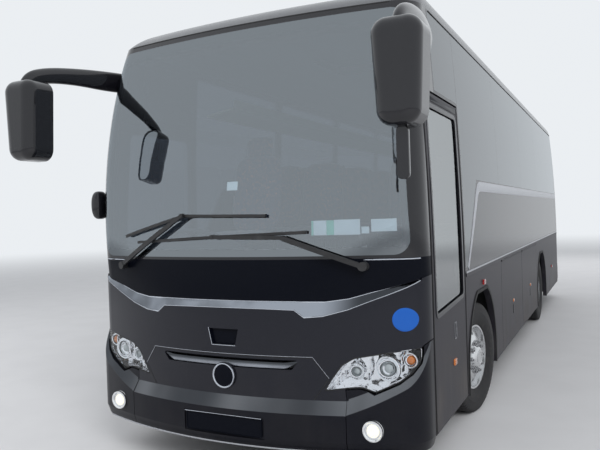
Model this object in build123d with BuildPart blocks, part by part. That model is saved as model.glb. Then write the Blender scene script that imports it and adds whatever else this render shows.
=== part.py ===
from build123d import *
from math import atan2, cos, pi, radians, sin, sqrt
import os

# Midi coach bus, millimetres. Z is up and the road is at Z 0.
# The front faces -Y. X is 0 in the middle of the body and +X is the door side.

# Driving lengths along the coach, from the front mask
FRONT_OVERHANG = 1930.0
WHEELBASE = 4520.0
REAR_OVERHANG = 2870.0
MIRROR_REACH = 400.0
REAR_BUMPER_REACH = 30.0
NOSE = (MIRROR_REACH - REAR_BUMPER_REACH - FRONT_OVERHANG - WHEELBASE - REAR_OVERHANG) / 2
FRONT_AXLE = NOSE + FRONT_OVERHANG
REAR_AXLE = FRONT_AXLE + WHEELBASE
TAIL = REAR_AXLE + REAR_OVERHANG

# Driving widths and heights
HALF_WIDTH = 1200.0
SKIRT_BOTTOM = 270.0
BUMPER_BOTTOM = 240.0
BUMPER_LEDGE = 455.0
MASK_BOTTOM = 528.0
MASK_TOP = 1100.0
BELT = 1130.0
WAIST = 1840.0
CANTRAIL = 2880.0
ROOF_TOP = 3080.0
FLOOR_TOP = 1050.0
FLOOR_THICK = 50.0
FLOOR_UNDER = FLOOR_TOP - FLOOR_THICK

# Wall, glass and gap sizes
WALL = 45.0
PANEL = 30.0
GLASS = 7.7
GLASS_SEAT = 0.3
GLASS_REBATE = GLASS + GLASS_SEAT
FLANGE = 38.0
PANE_GAP = 6.0
DOOR_GAP = 14.0
FLAP_GAP = 6.0
JOINT_GAP = 4.0
SEAT_GAP = 0.3

# Plan shape of the front: bow radius low down and high up, corner radii
BOW_LOW = 2800.0
BOW_HIGH = 6500.0
FRONT_CORNER = 180.0
REAR_CORNER = 150.0

# Body sections: height, half width, front set back, rear set back, bow radius
LOWER_ROWS = (
    (BUMPER_BOTTOM, HALF_WIDTH, 0.0, 0.0, BOW_LOW),
    (1300.0, HALF_WIDTH, 0.0, 0.0, BOW_LOW),
)
UPPER_ROWS = (
    (MASK_TOP, HALF_WIDTH, 30.0, 0.0, BOW_LOW),
    (1750.0, HALF_WIDTH - 10.0, 70.0, 15.0, 4200.0),
    (2330.0, HALF_WIDTH - 32.0, 178.0, 60.0, 5600.0),
    (CANTRAIL, HALF_WIDTH - 70.0, 365.0, 140.0, BOW_HIGH),
)
ROOF_ROWS = (
    (CANTRAIL, HALF_WIDTH - 70.0, 365.0, 140.0, BOW_HIGH),
    (ROOF_TOP - 92.0, HALF_WIDTH - 112.0, 540.0, 235.0, BOW_HIGH),
    (ROOF_TOP - 26.0, HALF_WIDTH - 210.0, 790.0, 430.0, BOW_HIGH),
    (ROOF_TOP, HALF_WIDTH - 380.0, 1100.0, 700.0, BOW_HIGH),
)
BUMPER_LIP = 50.0
BUMPER_ROWS = (
    (BUMPER_BOTTOM, HALF_WIDTH - 15.0, -30.0, 0.0, BOW_LOW),
    (300.0, HALF_WIDTH, -BUMPER_LIP, 0.0, BOW_LOW),
    (BUMPER_LEDGE, HALF_WIDTH, -BUMPER_LIP, 0.0, BOW_LOW),
    (MASK_BOTTOM, HALF_WIDTH, 0.0, 0.0, BOW_LOW),
)

# Passenger door
DOOR_FRONT = NOSE + 405.0
DOOR_WIDTH = 910.0
DOOR_REAR = DOOR_FRONT + DOOR_WIDTH
DOOR_BOTTOM = 285.0
DOOR_TOP = 2330.0
DOOR_THICK = 40.0
DOOR_GLASS_LOW = 960.0
DOOR_GLASS_MARGIN = 75.0
CORNER_JOINT = DOOR_FRONT - DOOR_GAP
HEADER_JOINT = NOSE + 690.0

# Door arm, which swings the door forwards along the side
ARM_REACH = 450.0
ARM_PIVOT_X = 1030.0
ARM_PIVOT_Y = NOSE + 480.0
ARM_REST_ANGLE = 81.0
ARM_LOW_Z = 900.0
ARM_HIGH_Z = DOOR_TOP - 40.0
ARM_RADIUS = 16.0

# Windows
WINDOW_TOP = 2868.0
WINDOW_PITCH = 1600.0
WINDOW_START = DOOR_REAR + 35.0
WINDOW_END = TAIL - 220.0
QUARTER_LOW = 1190.0
QUARTER_FOOT = 50.0
QUARTER_HEAD = 530.0
CAB_SILL = 1345.0
CAB_WINDOW_FRONT = CORNER_JOINT + 45.0
SCREEN_LOW = 1365.0
SCREEN_HIGH = 2835.0
SCREEN_HALF_LOW = 1128.0
SCREEN_HALF_HIGH = 1072.0
SCREEN_CORNER = 90.0

# Wheels
TYRE_RADIUS = 433.0
TYRE_WIDTH = 265.0
RIM_RADIUS = 252.0
TWIN_GAP = 34.0
WHEEL_OUTER_FACE = HALF_WIDTH - 34.0
KINGPIN_X = 880.0
STEER_REST = -9.0
FRONT_WHEEL_X = WHEEL_OUTER_FACE - TYRE_WIDTH / 2
REAR_WHEEL_X = WHEEL_OUTER_FACE - TYRE_WIDTH / 2
ARCH_RADIUS = 560.0
ARCH_TOP = 955.0
REAR_ARCH_RADIUS = 545.0
ARCH_TRIM = 26.0

# Luggage flaps, one behind the other on each side
FLAP_FRONT = FRONT_AXLE + 970.0
FLAP_REAR = REAR_AXLE - 650.0
FLAP_COUNT = 2
FLAP_BOTTOM = SKIRT_BOTTOM
RAIL_LIP = 4.0
HINGE_RADIUS = 7.0
HINGE_X = HALF_WIDTH - 2.0
HINGE_Z = BELT - RAIL_LIP - HINGE_RADIUS - 2.0
HINGE_DROP = HINGE_RADIUS + 2.0
FLAP_TOP = HINGE_Z - HINGE_DROP
HINGE_GAP = 0.3
HINGE_KNUCKLES = 7

# Engine lid in the rear wall
LID_HALF = 760.0
LID_BOTTOM = 600.0
LID_TOP = 1480.0
LID_HINGE_Y = TAIL - 9.0
LID_HINGE_Z = LID_TOP + HINGE_DROP

# Chassis
RAIL_X = 425.0
RAIL_WIDTH = 70.0
RAIL_LOW = 560.0
RAIL_HIGH = 760.0
RAIL_FRONT = NOSE + 420.0
RAIL_REAR = TAIL - 300.0
AXLE_Z = TYRE_RADIUS

# Roof fittings
HATCH_SIDE = 760.0
HATCH_CENTRES = (NOSE + 2500.0, TAIL - 1500.0)
UNIT_LENGTH = 2300.0
UNIT_HALF = 760.0
UNIT_HEIGHT = 205.0
UNIT_CENTRE = (FRONT_AXLE + REAR_AXLE) / 2 + 900.0

# Seats
SEAT_PITCH = 780.0
SEAT_ROWS = 9
FIRST_SEAT = NOSE + 2080.0

os.makedirs("parts", exist_ok=True)


def plan_outline(height, half, nose, tail, bow, inset):
    """Draws the closed plan outline of the body at one height."""
    bow = bow - inset
    corner = FRONT_CORNER - inset
    back = REAR_CORNER - inset
    half = half - inset
    front_y = NOSE + nose + inset
    back_y = TAIL - tail - inset
    reach = sqrt((bow - corner) ** 2 - (half - corner) ** 2)
    side_y = front_y + bow - reach
    share = bow / (bow - corner)
    knee = ((half - corner) * share, front_y + bow - reach * share)
    turn = atan2(-reach, half - corner) / 2
    middle = (half - corner + corner * cos(turn), side_y + corner * sin(turn))
    lean = back * cos(pi / 4)
    with BuildSketch(Plane.XY.offset(height)) as outline:
        with BuildLine():
            ThreePointArc((-knee[0], knee[1]), (0, front_y), knee)
            ThreePointArc(knee, middle, (half, side_y))
            Line((half, side_y), (half, back_y - back))
            ThreePointArc(
                (half, back_y - back),
                (half - back + lean, back_y - back + lean),
                (half - back, back_y),
            )
            Line((half - back, back_y), (back - half, back_y))
            ThreePointArc(
                (back - half, back_y),
                (back - half - lean, back_y - back + lean),
                (-half, back_y - back),
            )
            Line((-half, back_y - back), (-half, side_y))
            ThreePointArc((-half, side_y), (-middle[0], middle[1]), (-knee[0], knee[1]))
        make_face()
    return outline.sketch


def body_loft(rows, inset=0.0, ruled=False):
    """Lofts one zone of the body through its plan outlines."""
    outlines = [plan_outline(*row, inset) for row in rows]
    with BuildPart() as zone:
        loft(outlines, ruled=ruled)
    return zone.part


def shell_of(rows, outer, inner, ruled=False):
    """Takes the layer of a body zone between two insets."""
    with BuildPart() as layer:
        add(body_loft(rows, outer, ruled))
        add(body_loft(rows, inner, ruled), mode=Mode.SUBTRACT)
    return layer.part


def block(x, y, z, mode=Mode.ADD):
    """Adds or cuts an upright block between pairs of limits."""
    middle = ((x[0] + x[1]) / 2, (y[0] + y[1]) / 2, (z[0] + z[1]) / 2)
    with Locations(middle):
        Box(abs(x[1] - x[0]), abs(y[1] - y[0]), abs(z[1] - z[0]), mode=mode)


def side_prism(points, x, mode=Mode.ADD, corner=0.0):
    """Extrudes an outline given in Y and Z from one X to another."""
    with BuildSketch(Plane.YZ.offset(min(x))) as face:
        with BuildLine():
            Polyline(*points, close=True)
        make_face()
        if corner:
            fillet(face.vertices(), corner)
    extrude(face.sketch, amount=abs(x[1] - x[0]), mode=mode)


def front_prism(points, y, mode=Mode.ADD, corner=0.0):
    """Extrudes an outline given in X and Z from one Y to another."""
    with BuildSketch(Plane.XZ.offset(-max(y))) as face:
        with BuildLine():
            Polyline(*points, close=True)
        make_face()
        if corner:
            fillet(face.vertices(), corner)
    extrude(face.sketch, amount=abs(y[1] - y[0]), mode=mode)


def mirrored(points):
    """Mirrors an outline in X and Z to the other side of the coach."""
    return [(-x, z) for x, z in reversed(points)]


def lamp_prism(change, mode=Mode.ADD):
    """Extrudes both headlamp outlines, grown or shrunk, back through the front."""
    with BuildSketch(Plane.XZ.offset(-CORNER_JOINT)) as lamps:
        for outline in (HEADLAMP, mirrored(HEADLAMP)):
            with BuildLine():
                Polyline(*outline, close=True)
            make_face()
        if change:
            offset(amount=change, kind=Kind.INTERSECTION, mode=Mode.REPLACE)
        fillet(lamps.vertices(), LAMP_CORNER + change)
    extrude(lamps.sketch, amount=CORNER_JOINT - NOSE + 200.0, mode=mode)


def screen_prism(change, mode=Mode.ADD):
    """Extrudes the windscreen outline, grown or shrunk, through the front."""
    points = (
        (-SCREEN_HALF_LOW - change, SCREEN_LOW - change),
        (SCREEN_HALF_LOW + change, SCREEN_LOW - change),
        (SCREEN_HALF_HIGH + change, SCREEN_HIGH + change),
        (-SCREEN_HALF_HIGH - change, SCREEN_HIGH + change),
    )
    front_prism(points, (NOSE - 200.0, NOSE + 800.0), mode=mode, corner=SCREEN_CORNER + change)


def pane_prism(outlines, side, change, corner, mode=Mode.ADD):
    """Extrudes window outlines, grown or shrunk, through one side of the body."""
    with BuildSketch(Plane.YZ.offset(min(side * 700.0, side * OUTSIDE))) as panes:
        for points in outlines:
            with BuildLine():
                Polyline(*points, close=True)
            make_face()
        if change:
            offset(amount=change, kind=Kind.INTERSECTION, mode=Mode.REPLACE)
        fillet(panes.vertices(), corner)
    extrude(panes.sketch, amount=OUTSIDE - 700.0, mode=mode)


def arch_prism(axle, radius, top, x, mode=Mode.ADD):
    """Extrudes a wheel arch outline with a flattened crown."""
    with BuildSketch(Plane.YZ.offset(min(x))) as arch:
        with Locations((axle, AXLE_Z)):
            Circle(radius)
        with Locations((axle, AXLE_Z / 2)):
            Rectangle(2 * radius, AXLE_Z)
        with Locations((axle, top / 2)):
            Rectangle(2 * radius, top, mode=Mode.INTERSECT)
    extrude(arch.sketch, amount=abs(x[1] - x[0]), mode=mode)


def rod(start, end, radius, mode=Mode.ADD):
    """Adds or cuts a round bar between two points."""
    run = Vector(*end) - Vector(*start)
    with BuildSketch(Plane(origin=start, z_dir=run)) as section:
        Circle(radius)
    extrude(section.sketch, amount=run.length, mode=mode)


def hinge_spans(low, high, offset_index):
    """Lists the spans of every second barrel along a hinge."""
    pitch = (high - low) / HINGE_KNUCKLES
    spans = []
    for index in range(offset_index, HINGE_KNUCKLES, 2):
        spans.append((low + index * pitch + HINGE_GAP / 2, low + (index + 1) * pitch - HINGE_GAP / 2))
    return spans


def wheel_plane(side, axle, centre_x, steer=0.0):
    """Places a plane in the middle of a wheel, its first direction outwards."""
    turn = radians(steer)
    lever = centre_x - KINGPIN_X if steer else 0.0
    pin = KINGPIN_X if steer else centre_x
    outward = (side * cos(turn), side * sin(turn), 0.0)
    origin = (side * pin + lever * outward[0], axle + lever * outward[1], AXLE_Z)
    return Plane(origin=origin, x_dir=outward, z_dir=(0.0, 0.0, 1.0))


def save(name, part):
    """Labels one piece and writes it."""
    part.label = name
    export_step(part, "parts/" + name + ".step")


# Body layers that the panels are cut from
upper_shell = shell_of(UPPER_ROWS, 0.0, WALL)
upper_skin = shell_of(UPPER_ROWS, 0.0, GLASS)
upper_frame = shell_of(UPPER_ROWS, GLASS_REBATE, WALL)
upper_inside = body_loft(UPPER_ROWS, WALL + SEAT_GAP)
lower_shell = shell_of(LOWER_ROWS, 0.0, WALL)
bumper_shell = shell_of(BUMPER_ROWS, 0.0, WALL, ruled=True)

FRONT_ZONE = (NOSE - 200.0, CORNER_JOINT)
OUTSIDE = HALF_WIDTH + 100.0
REAR_JOINT = WINDOW_END

# Mask outline along its top edge, which rises to the corners
MASK_EDGE = (
    (-HALF_WIDTH - 60.0, 1262.0),
    (-1140.0, 1212.0),
    (-780.0, 1117.0),
    (-640.0, MASK_TOP),
    (640.0, MASK_TOP),
    (780.0, 1117.0),
    (1140.0, 1212.0),
    (HALF_WIDTH + 60.0, 1262.0),
)
HEADLAMP = (
    (632.0, 585.0),
    (684.0, 668.0),
    (735.0, 738.0),
    (805.0, 780.0),
    (948.0, 803.0),
    (1160.0, 830.0),
    (1158.0, 745.0),
    (1118.0, 690.0),
    (1050.0, 636.0),
    (920.0, 576.0),
    (842.0, 606.0),
    (790.0, 604.0),
)
LAMP_CORNER = 14.0
GRILLE_PANEL = (
    (-574.0, MASK_BOTTOM),
    (574.0, MASK_BOTTOM),
    (662.0, 655.0),
    (570.0, 775.0),
    (-570.0, 775.0),
    (-662.0, 655.0),
)
GRILLE_SLOT = ((-445.0, 700.0), (445.0, 700.0), (494.0, 758.0), (-494.0, 758.0))
HANDLE_RECESS = ((-82.0, 832.0), (82.0, 832.0), (105.0, 930.0), (-105.0, 930.0))
EMBLEM_Z = 645.0
EMBLEM_RADIUS = 80.0
FOG_X = 920.0
FOG_Z = 380.0
FOG_RADIUS = 58.0

# Bumper corner under each headlamp, and the mask's edge around it
CORNER_TOP = (
    (772.0, 448.0),
    (756.0, 590.0),
    (796.0, 594.0),
    (838.0, 597.0),
    (917.0, 566.0),
    (1055.0, 628.0),
    (1126.0, 683.0),
    (1167.0, 742.0),
    (1172.0, 836.0),
    (OUTSIDE, 935.0),
    (OUTSIDE, 448.0),
)
CORNER_ROOM = (
    (761.0, 500.0),
    (752.0, 600.0),
    (752.0, 640.0),
    (1100.0, 750.0),
    (1166.0, 838.0),
    (OUTSIDE, 942.0),
    (OUTSIDE, 500.0),
)

# Chamfer along the mask's top edge: X, height of its lower line and of its upper line
RIM_DEPTH = 30.0
RIM_PROUD = 40.0
RIM_STATIONS = (
    (0.0, 1057.0, MASK_TOP),
    (160.0, 1056.0, MASK_TOP),
    (320.0, 1054.0, MASK_TOP),
    (470.0, 1050.0, MASK_TOP),
    (530.0, 1006.0, MASK_TOP),
    (640.0, 1015.0, MASK_TOP),
    (780.0, 1052.0, 1117.0),
    (900.0, 1098.0, 1149.0),
    (1000.0, 1135.0, 1175.0),
    (1090.0, 1171.0, 1199.0),
    (1140.0, 1195.0, 1212.0),
    (1170.0, 1214.0, 1220.0),
)


def front_y(across):
    """Finds how far back the lower front is at one X."""
    across = abs(across)
    reach = sqrt((BOW_LOW - FRONT_CORNER) ** 2 - (HALF_WIDTH - FRONT_CORNER) ** 2)
    knee = (HALF_WIDTH - FRONT_CORNER) * BOW_LOW / (BOW_LOW - FRONT_CORNER)
    if across <= knee:
        return NOSE + BOW_LOW - sqrt(BOW_LOW ** 2 - across ** 2)
    return NOSE + BOW_LOW - reach - sqrt(FRONT_CORNER ** 2 - (across - HALF_WIDTH + FRONT_CORNER) ** 2)


def rim_cutter(side):
    """Lofts the wedge that chamfers one half of the mask's top edge."""
    faces = []
    for across, low, high in RIM_STATIONS:
        rise = (high - low) / RIM_DEPTH
        near = front_y(across)
        with BuildSketch(Plane.YZ.offset(side * across)) as face:
            with BuildLine():
                Polyline(
                    (near - RIM_PROUD, low - rise * RIM_PROUD),
                    (near + RIM_DEPTH + RIM_PROUD, high + rise * RIM_PROUD),
                    (near - RIM_PROUD, high + rise * RIM_PROUD),
                    close=True,
                )
            make_face()
        faces.append(face.sketch)
    with BuildPart() as wedge:
        loft(faces, ruled=True)
    return wedge.part


# Front mask under the windscreen
with BuildPart() as front_mask:
    add(lower_shell)
    front_prism(
        [(-OUTSIDE, MASK_BOTTOM), (OUTSIDE, MASK_BOTTOM)] + list(reversed(MASK_EDGE)),
        FRONT_ZONE,
        mode=Mode.INTERSECT,
    )
    front_prism(GRILLE_PANEL, FRONT_ZONE, mode=Mode.SUBTRACT)
    lamp_prism(0.0, mode=Mode.SUBTRACT)
    front_prism(CORNER_ROOM, FRONT_ZONE, mode=Mode.SUBTRACT)
    front_prism(mirrored(CORNER_ROOM), FRONT_ZONE, mode=Mode.SUBTRACT)
    front_prism(HANDLE_RECESS, (NOSE - 20.0, NOSE + 22.0), mode=Mode.SUBTRACT)
    add(rim_cutter(1), mode=Mode.SUBTRACT)
    add(rim_cutter(-1), mode=Mode.SUBTRACT)
save("front_mask", front_mask.part)

# Lower grille panel with its long air slot and a plain round boss
with BuildPart() as grille_panel:
    add(lower_shell)
    front_prism(GRILLE_PANEL, FRONT_ZONE, mode=Mode.INTERSECT)
    front_prism(GRILLE_SLOT, FRONT_ZONE, mode=Mode.SUBTRACT, corner=12.0)
    with BuildSketch(Plane.XZ.offset(-(NOSE + WALL / 2))):
        with Locations((0, EMBLEM_Z)):
            Circle(EMBLEM_RADIUS)
    extrude(amount=WALL / 2 + 12.0)
# Slats behind the air slot
SLAT_COUNT = 3
SLAT_THICK = 8.0
with BuildPart() as grille_slats:
    add(shell_of(LOWER_ROWS, WALL + SEAT_GAP, WALL + 30.0))
    front_prism(
        ((-540.0, 670.0), (540.0, 670.0), (540.0, 790.0), (-540.0, 790.0)),
        FRONT_ZONE,
        mode=Mode.INTERSECT,
    )
    slat_pitch = (758.0 - 700.0 - SLAT_COUNT * SLAT_THICK) / (SLAT_COUNT + 1)
    for index in range(SLAT_COUNT + 1):
        low = 700.0 + index * (slat_pitch + SLAT_THICK)
        block((-430.0, 430.0), FRONT_ZONE, (low, low + slat_pitch), mode=Mode.SUBTRACT)
    add(grille_panel.part)
save("grille_panel", grille_slats.part)

# Front bumper: middle piece, two corners and the beam that carries them
BUMPER_JOINT = ((-768.0, BUMPER_BOTTOM - 60.0), (768.0, BUMPER_BOTTOM - 60.0), (768.0, 457.0),
                (752.0, MASK_BOTTOM + 60.0), (-752.0, MASK_BOTTOM + 60.0), (-768.0, 457.0))
PLATE_HALF = 285.0
PLATE_LOW = 290.0
PLATE_HIGH = 420.0
with BuildPart() as bumper_middle:
    add(bumper_shell)
    front_prism(BUMPER_JOINT, FRONT_ZONE, mode=Mode.INTERSECT)
    block(
        (-PLATE_HALF, PLATE_HALF),
        (NOSE - 80.0, NOSE - BUMPER_LIP + 22.0),
        (PLATE_LOW, PLATE_HIGH),
        mode=Mode.SUBTRACT,
    )
with BuildPart() as bumper_beam:
    add(shell_of(BUMPER_ROWS, WALL - 1.0, WALL + 20.0, ruled=True))
    block((-850.0, 850.0), FRONT_ZONE, (BUMPER_LEDGE - 60.0, MASK_BOTTOM - 60.0), mode=Mode.INTERSECT)
# Upper part of a bumper corner, its ledge a plane that rises along the headlamp
LEDGE_START = 435.2
LEDGE_ACROSS = -0.0787
LEDGE_BACK = 1.507
CORNER_ROWS = (
    (440.0, HALF_WIDTH, -BUMPER_LIP, 0.0, BOW_LOW),
    (950.0, HALF_WIDTH, -BUMPER_LIP, 0.0, BOW_LOW),
)
with BuildPart() as corner_lip:
    add(shell_of(CORNER_ROWS, 0.0, WALL + BUMPER_LIP + 12.0))
    front_prism(CORNER_TOP, FRONT_ZONE, mode=Mode.INTERSECT)
    ledge_centre = (1000.0, NOSE + 150.0, LEDGE_START + LEDGE_ACROSS * 1000.0 + LEDGE_BACK * 150.0)
    with BuildSketch(Plane(origin=ledge_centre, z_dir=(-LEDGE_ACROSS, -LEDGE_BACK, 1.0))):
        Rectangle(2000.0, 2000.0)
    extrude(amount=900.0, mode=Mode.SUBTRACT)
with BuildPart() as corner_top:
    add(lower_shell)
    front_prism(CORNER_TOP, FRONT_ZONE, mode=Mode.INTERSECT)
    block((700.0, OUTSIDE), FRONT_ZONE, (500.0, 950.0), mode=Mode.INTERSECT)
    add(corner_lip.part)
with BuildPart() as front_bumper:
    add(bumper_shell)
    block((-OUTSIDE, OUTSIDE), FRONT_ZONE, (0.0, MASK_BOTTOM), mode=Mode.INTERSECT)
    add(corner_top.part)
    mirror(corner_top.part, about=Plane.YZ)
    front_prism(
        [(x + JOINT_GAP * (1 if x > 0 else -1), z) for x, z in BUMPER_JOINT],
        FRONT_ZONE,
        mode=Mode.SUBTRACT,
    )
    for side in (-1, 1):
        with BuildSketch(Plane.XZ.offset(-(NOSE + 150.0))):
            with Locations((side * FOG_X, FOG_Z)):
                Circle(FOG_RADIUS + 3.0)
        extrude(amount=260.0, mode=Mode.SUBTRACT)
    add(bumper_middle.part)
    add(bumper_beam.part)
save("front_bumper", front_bumper.part)

# Fog lamps, drums that fill the round holes in the bumper corners
FOG_FACE = NOSE + 88.0
with BuildPart() as fog_lamps:
    for side in (-1, 1):
        with BuildSketch(Plane.XZ.offset(-(NOSE + 150.0))):
            with Locations((side * FOG_X, FOG_Z)):
                Circle(FOG_RADIUS + 2.7)
        extrude(amount=NOSE + 150.0 - FOG_FACE)
    fillet(fog_lamps.faces().sort_by(Axis.Y)[0:2].edges(), 8.0)
save("fog_lamps", fog_lamps.part)

# Headlamp bowls and their clear covers
LENS = 4.0
LENS_SET = 2.0
BOWL_WALL = 4.0
BOWL_DEPTH = 120.0
with BuildPart() as headlamp_covers:
    add(shell_of(LOWER_ROWS, LENS_SET, LENS_SET + LENS))
    lamp_prism(0.0, mode=Mode.INTERSECT)
save("headlamp_covers", headlamp_covers.part)

with BuildPart() as headlamp_bowls:
    add(shell_of(LOWER_ROWS, LENS_SET + LENS + SEAT_GAP, BOWL_DEPTH))
    lamp_prism(0.0, mode=Mode.INTERSECT)
with BuildPart() as lamp_hollows:
    add(shell_of(LOWER_ROWS, LENS_SET, BOWL_DEPTH - 10.0))
    lamp_prism(-BOWL_WALL, mode=Mode.INTERSECT)
with BuildPart() as headlamp_bowls_open:
    add(headlamp_bowls.part)
    add(lamp_hollows.part, mode=Mode.SUBTRACT)
# Projector barrels inside the bowls: X, Z, barrel radius
PROJECTORS = ((975.0, 705.0, 52.0), (802.0, 690.0, 36.0), (1098.0, 752.0, 30.0))
with BuildPart() as lamp_barrels:
    for centre, height, radius in PROJECTORS:
        for side in (-1, 1):
            with BuildSketch(Plane.XZ.offset(-CORNER_JOINT)):
                with Locations((side * centre, height)):
                    Circle(radius)
                    Circle(radius - 6.0, mode=Mode.SUBTRACT)
            extrude(amount=CORNER_JOINT - NOSE)
    add(shell_of(LOWER_ROWS, WALL, BOWL_DEPTH - 9.0), mode=Mode.INTERSECT)
    add(headlamp_bowls_open.part)
save("headlamp_bowls", lamp_barrels.part)

# Black panel between the mask and the windscreen, with the wiper shafts' holes
SCUTTLE_TOP = SCREEN_LOW - 18.0
WIPER_PIVOT_X = 880.0
WIPER_PIVOT_Z = 1305.0
WIPER_SHAFT = 14.0
with BuildPart() as scuttle_panel:
    add(upper_shell)
    front_prism(
        list(MASK_EDGE) + [(OUTSIDE, SCUTTLE_TOP), (-OUTSIDE, SCUTTLE_TOP)],
        FRONT_ZONE,
        mode=Mode.INTERSECT,
    )
save("scuttle_panel", scuttle_panel.part)

# Windscreen frame behind the glass, and the corner posts' outer panel
SCREEN_SIDE = (
    (FRONT_ZONE[0], SCUTTLE_TOP),
    (CORNER_JOINT, SCUTTLE_TOP),
    (CORNER_JOINT, DOOR_TOP + DOOR_GAP),
    (HEADER_JOINT, DOOR_TOP + DOOR_GAP),
    (HEADER_JOINT, CANTRAIL),
    (FRONT_ZONE[0], CANTRAIL),
)
with BuildPart() as windscreen_frame:
    add(upper_frame)
    side_prism(SCREEN_SIDE, (-OUTSIDE, OUTSIDE), mode=Mode.INTERSECT)
    screen_prism(-FLANGE, mode=Mode.SUBTRACT)

with BuildPart() as corner_posts:
    add(upper_skin)
    side_prism(SCREEN_SIDE, (-OUTSIDE, OUTSIDE), mode=Mode.INTERSECT)
    screen_prism(SEAT_GAP, mode=Mode.SUBTRACT)
save("corner_posts", corner_posts.part)

with BuildPart() as windscreen:
    add(upper_skin)
    screen_prism(0.0, mode=Mode.INTERSECT)
save("windscreen", windscreen.part)

# Window outlines along each side, front pane first
WINDOW_JOINTS = [WINDOW_START + index * WINDOW_PITCH for index in range(5)] + [WINDOW_END]
HALF_GAP = PANE_GAP / 2


def plain_pane(first, last, low=WAIST, high=WINDOW_TOP):
    """Lists the corners of an upright pane between two window joints."""
    return (
        (first + HALF_GAP, low),
        (last - HALF_GAP, low),
        (last - HALF_GAP, high),
        (first + HALF_GAP, high),
    )


def quarter_pane(first, last, foot_low):
    """Lists the corners of the front pane, which drops ahead of the slanted stripe."""
    return (
        (first + HALF_GAP, foot_low),
        (WINDOW_START + QUARTER_FOOT + (foot_low - QUARTER_LOW) * QUARTER_SLOPE, foot_low),
        (WINDOW_START + QUARTER_HEAD, WAIST),
        (last - HALF_GAP, WAIST),
        (last - HALF_GAP, WINDOW_TOP),
        (first + HALF_GAP, WINDOW_TOP),
    )


QUARTER_SLOPE = (QUARTER_HEAD - QUARTER_FOOT) / (WAIST - QUARTER_LOW)
later_panes = [plain_pane(a, b) for a, b in zip(WINDOW_JOINTS[1:-1], WINDOW_JOINTS[2:])]
left_panes = [quarter_pane(WINDOW_JOINTS[0], WINDOW_JOINTS[1], QUARTER_LOW)] + later_panes
cab_pane = (
    (CAB_WINDOW_FRONT, CAB_SILL),
    (WINDOW_START - HALF_GAP, CAB_SILL),
    (WINDOW_START - HALF_GAP, DOOR_TOP - 20.0),
    (CAB_WINDOW_FRONT + 70.0, DOOR_TOP - 20.0),
)
right_panes = [cab_pane, quarter_pane(WINDOW_JOINTS[0], WINDOW_JOINTS[1], CAB_SILL)] + later_panes
door_header = plain_pane(HEADER_JOINT + 20.0, WINDOW_START, DOOR_TOP + DOOR_GAP + 22.0)

LEFT_WALL = (
    (DOOR_REAR + DOOR_GAP, BELT),
    (REAR_JOINT, BELT),
    (REAR_JOINT, CANTRAIL),
    (HEADER_JOINT, CANTRAIL),
    (HEADER_JOINT, DOOR_TOP + DOOR_GAP),
    (DOOR_REAR + DOOR_GAP, DOOR_TOP + DOOR_GAP),
)
RIGHT_WALL = (
    (CORNER_JOINT, BELT),
    (REAR_JOINT, BELT),
    (REAR_JOINT, CANTRAIL),
    (HEADER_JOINT, CANTRAIL),
    (HEADER_JOINT, DOOR_TOP + DOOR_GAP),
    (CORNER_JOINT, DOOR_TOP + DOOR_GAP),
)
PANE_CORNER = 14.0

# Side walls above the belt: frame with openings, outer panel and the flush panes
side_panes = {}
side_skins = {}
for name, side, outline, panes in (
    ("left", 1, LEFT_WALL, left_panes),
    ("right", -1, RIGHT_WALL, right_panes),
):
    reach = sorted((side * 700.0, side * OUTSIDE))
    with BuildPart() as side_wall:
        add(upper_frame)
        side_prism(outline, reach, mode=Mode.INTERSECT)
        pane_prism(panes, side, -FLANGE, 60.0, mode=Mode.SUBTRACT)
    save("side_wall_" + name, side_wall.part)
    with BuildPart() as side_panel:
        add(upper_skin)
        side_prism(outline, reach, mode=Mode.INTERSECT)
        pane_prism(panes + [door_header], side, GLASS_SEAT, PANE_CORNER, mode=Mode.SUBTRACT)
    side_skins[name] = side_panel.part
    with BuildPart() as side_glass:
        add(upper_skin)
        pane_prism(panes + [door_header], side, 0.0, PANE_CORNER, mode=Mode.INTERSECT)
    side_panes[name] = side_glass.part
with BuildPart() as side_panels:
    add(side_skins["left"])
    add(side_skins["right"])
save("side_panels", side_panels.part)

# Skirts under the belt, with both wheel arches cut out and room for the flaps
with BuildPart() as skirts:
    add(lower_shell)
    block((-OUTSIDE, OUTSIDE), (CORNER_JOINT, REAR_JOINT), (SKIRT_BOTTOM, BELT), mode=Mode.INTERSECT)
    block((0.0, OUTSIDE), (NOSE, DOOR_REAR + DOOR_GAP), (0.0, BELT + 1.0), mode=Mode.SUBTRACT)
    arch_prism(FRONT_AXLE, ARCH_RADIUS, ARCH_TOP, (-OUTSIDE, OUTSIDE), mode=Mode.SUBTRACT)
    arch_prism(REAR_AXLE, REAR_ARCH_RADIUS, ARCH_TOP, (-OUTSIDE, OUTSIDE), mode=Mode.SUBTRACT)
    block((-OUTSIDE, OUTSIDE), (FLAP_FRONT, FLAP_REAR), (0.0, BELT + 1.0), mode=Mode.SUBTRACT)
save("skirts", skirts.part)

# Rubber lips round the wheel arches
with BuildPart() as arch_lips:
    for side in (-1, 1):
        face = (side * HALF_WIDTH, side * (HALF_WIDTH + 7.0))
        for axle, radius in ((FRONT_AXLE, ARCH_RADIUS), (REAR_AXLE, REAR_ARCH_RADIUS)):
            with BuildPart(mode=Mode.PRIVATE) as lip:
                arch_prism(axle, radius + ARCH_TRIM, ARCH_TOP + ARCH_TRIM, face)
                arch_prism(axle, radius, ARCH_TOP, face, mode=Mode.SUBTRACT)
                block(face, (axle - 900.0, axle + 900.0), (0.0, SKIRT_BOTTOM), mode=Mode.SUBTRACT)
            add(lip.part)
save("arch_lips", arch_lips.part)

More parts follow.
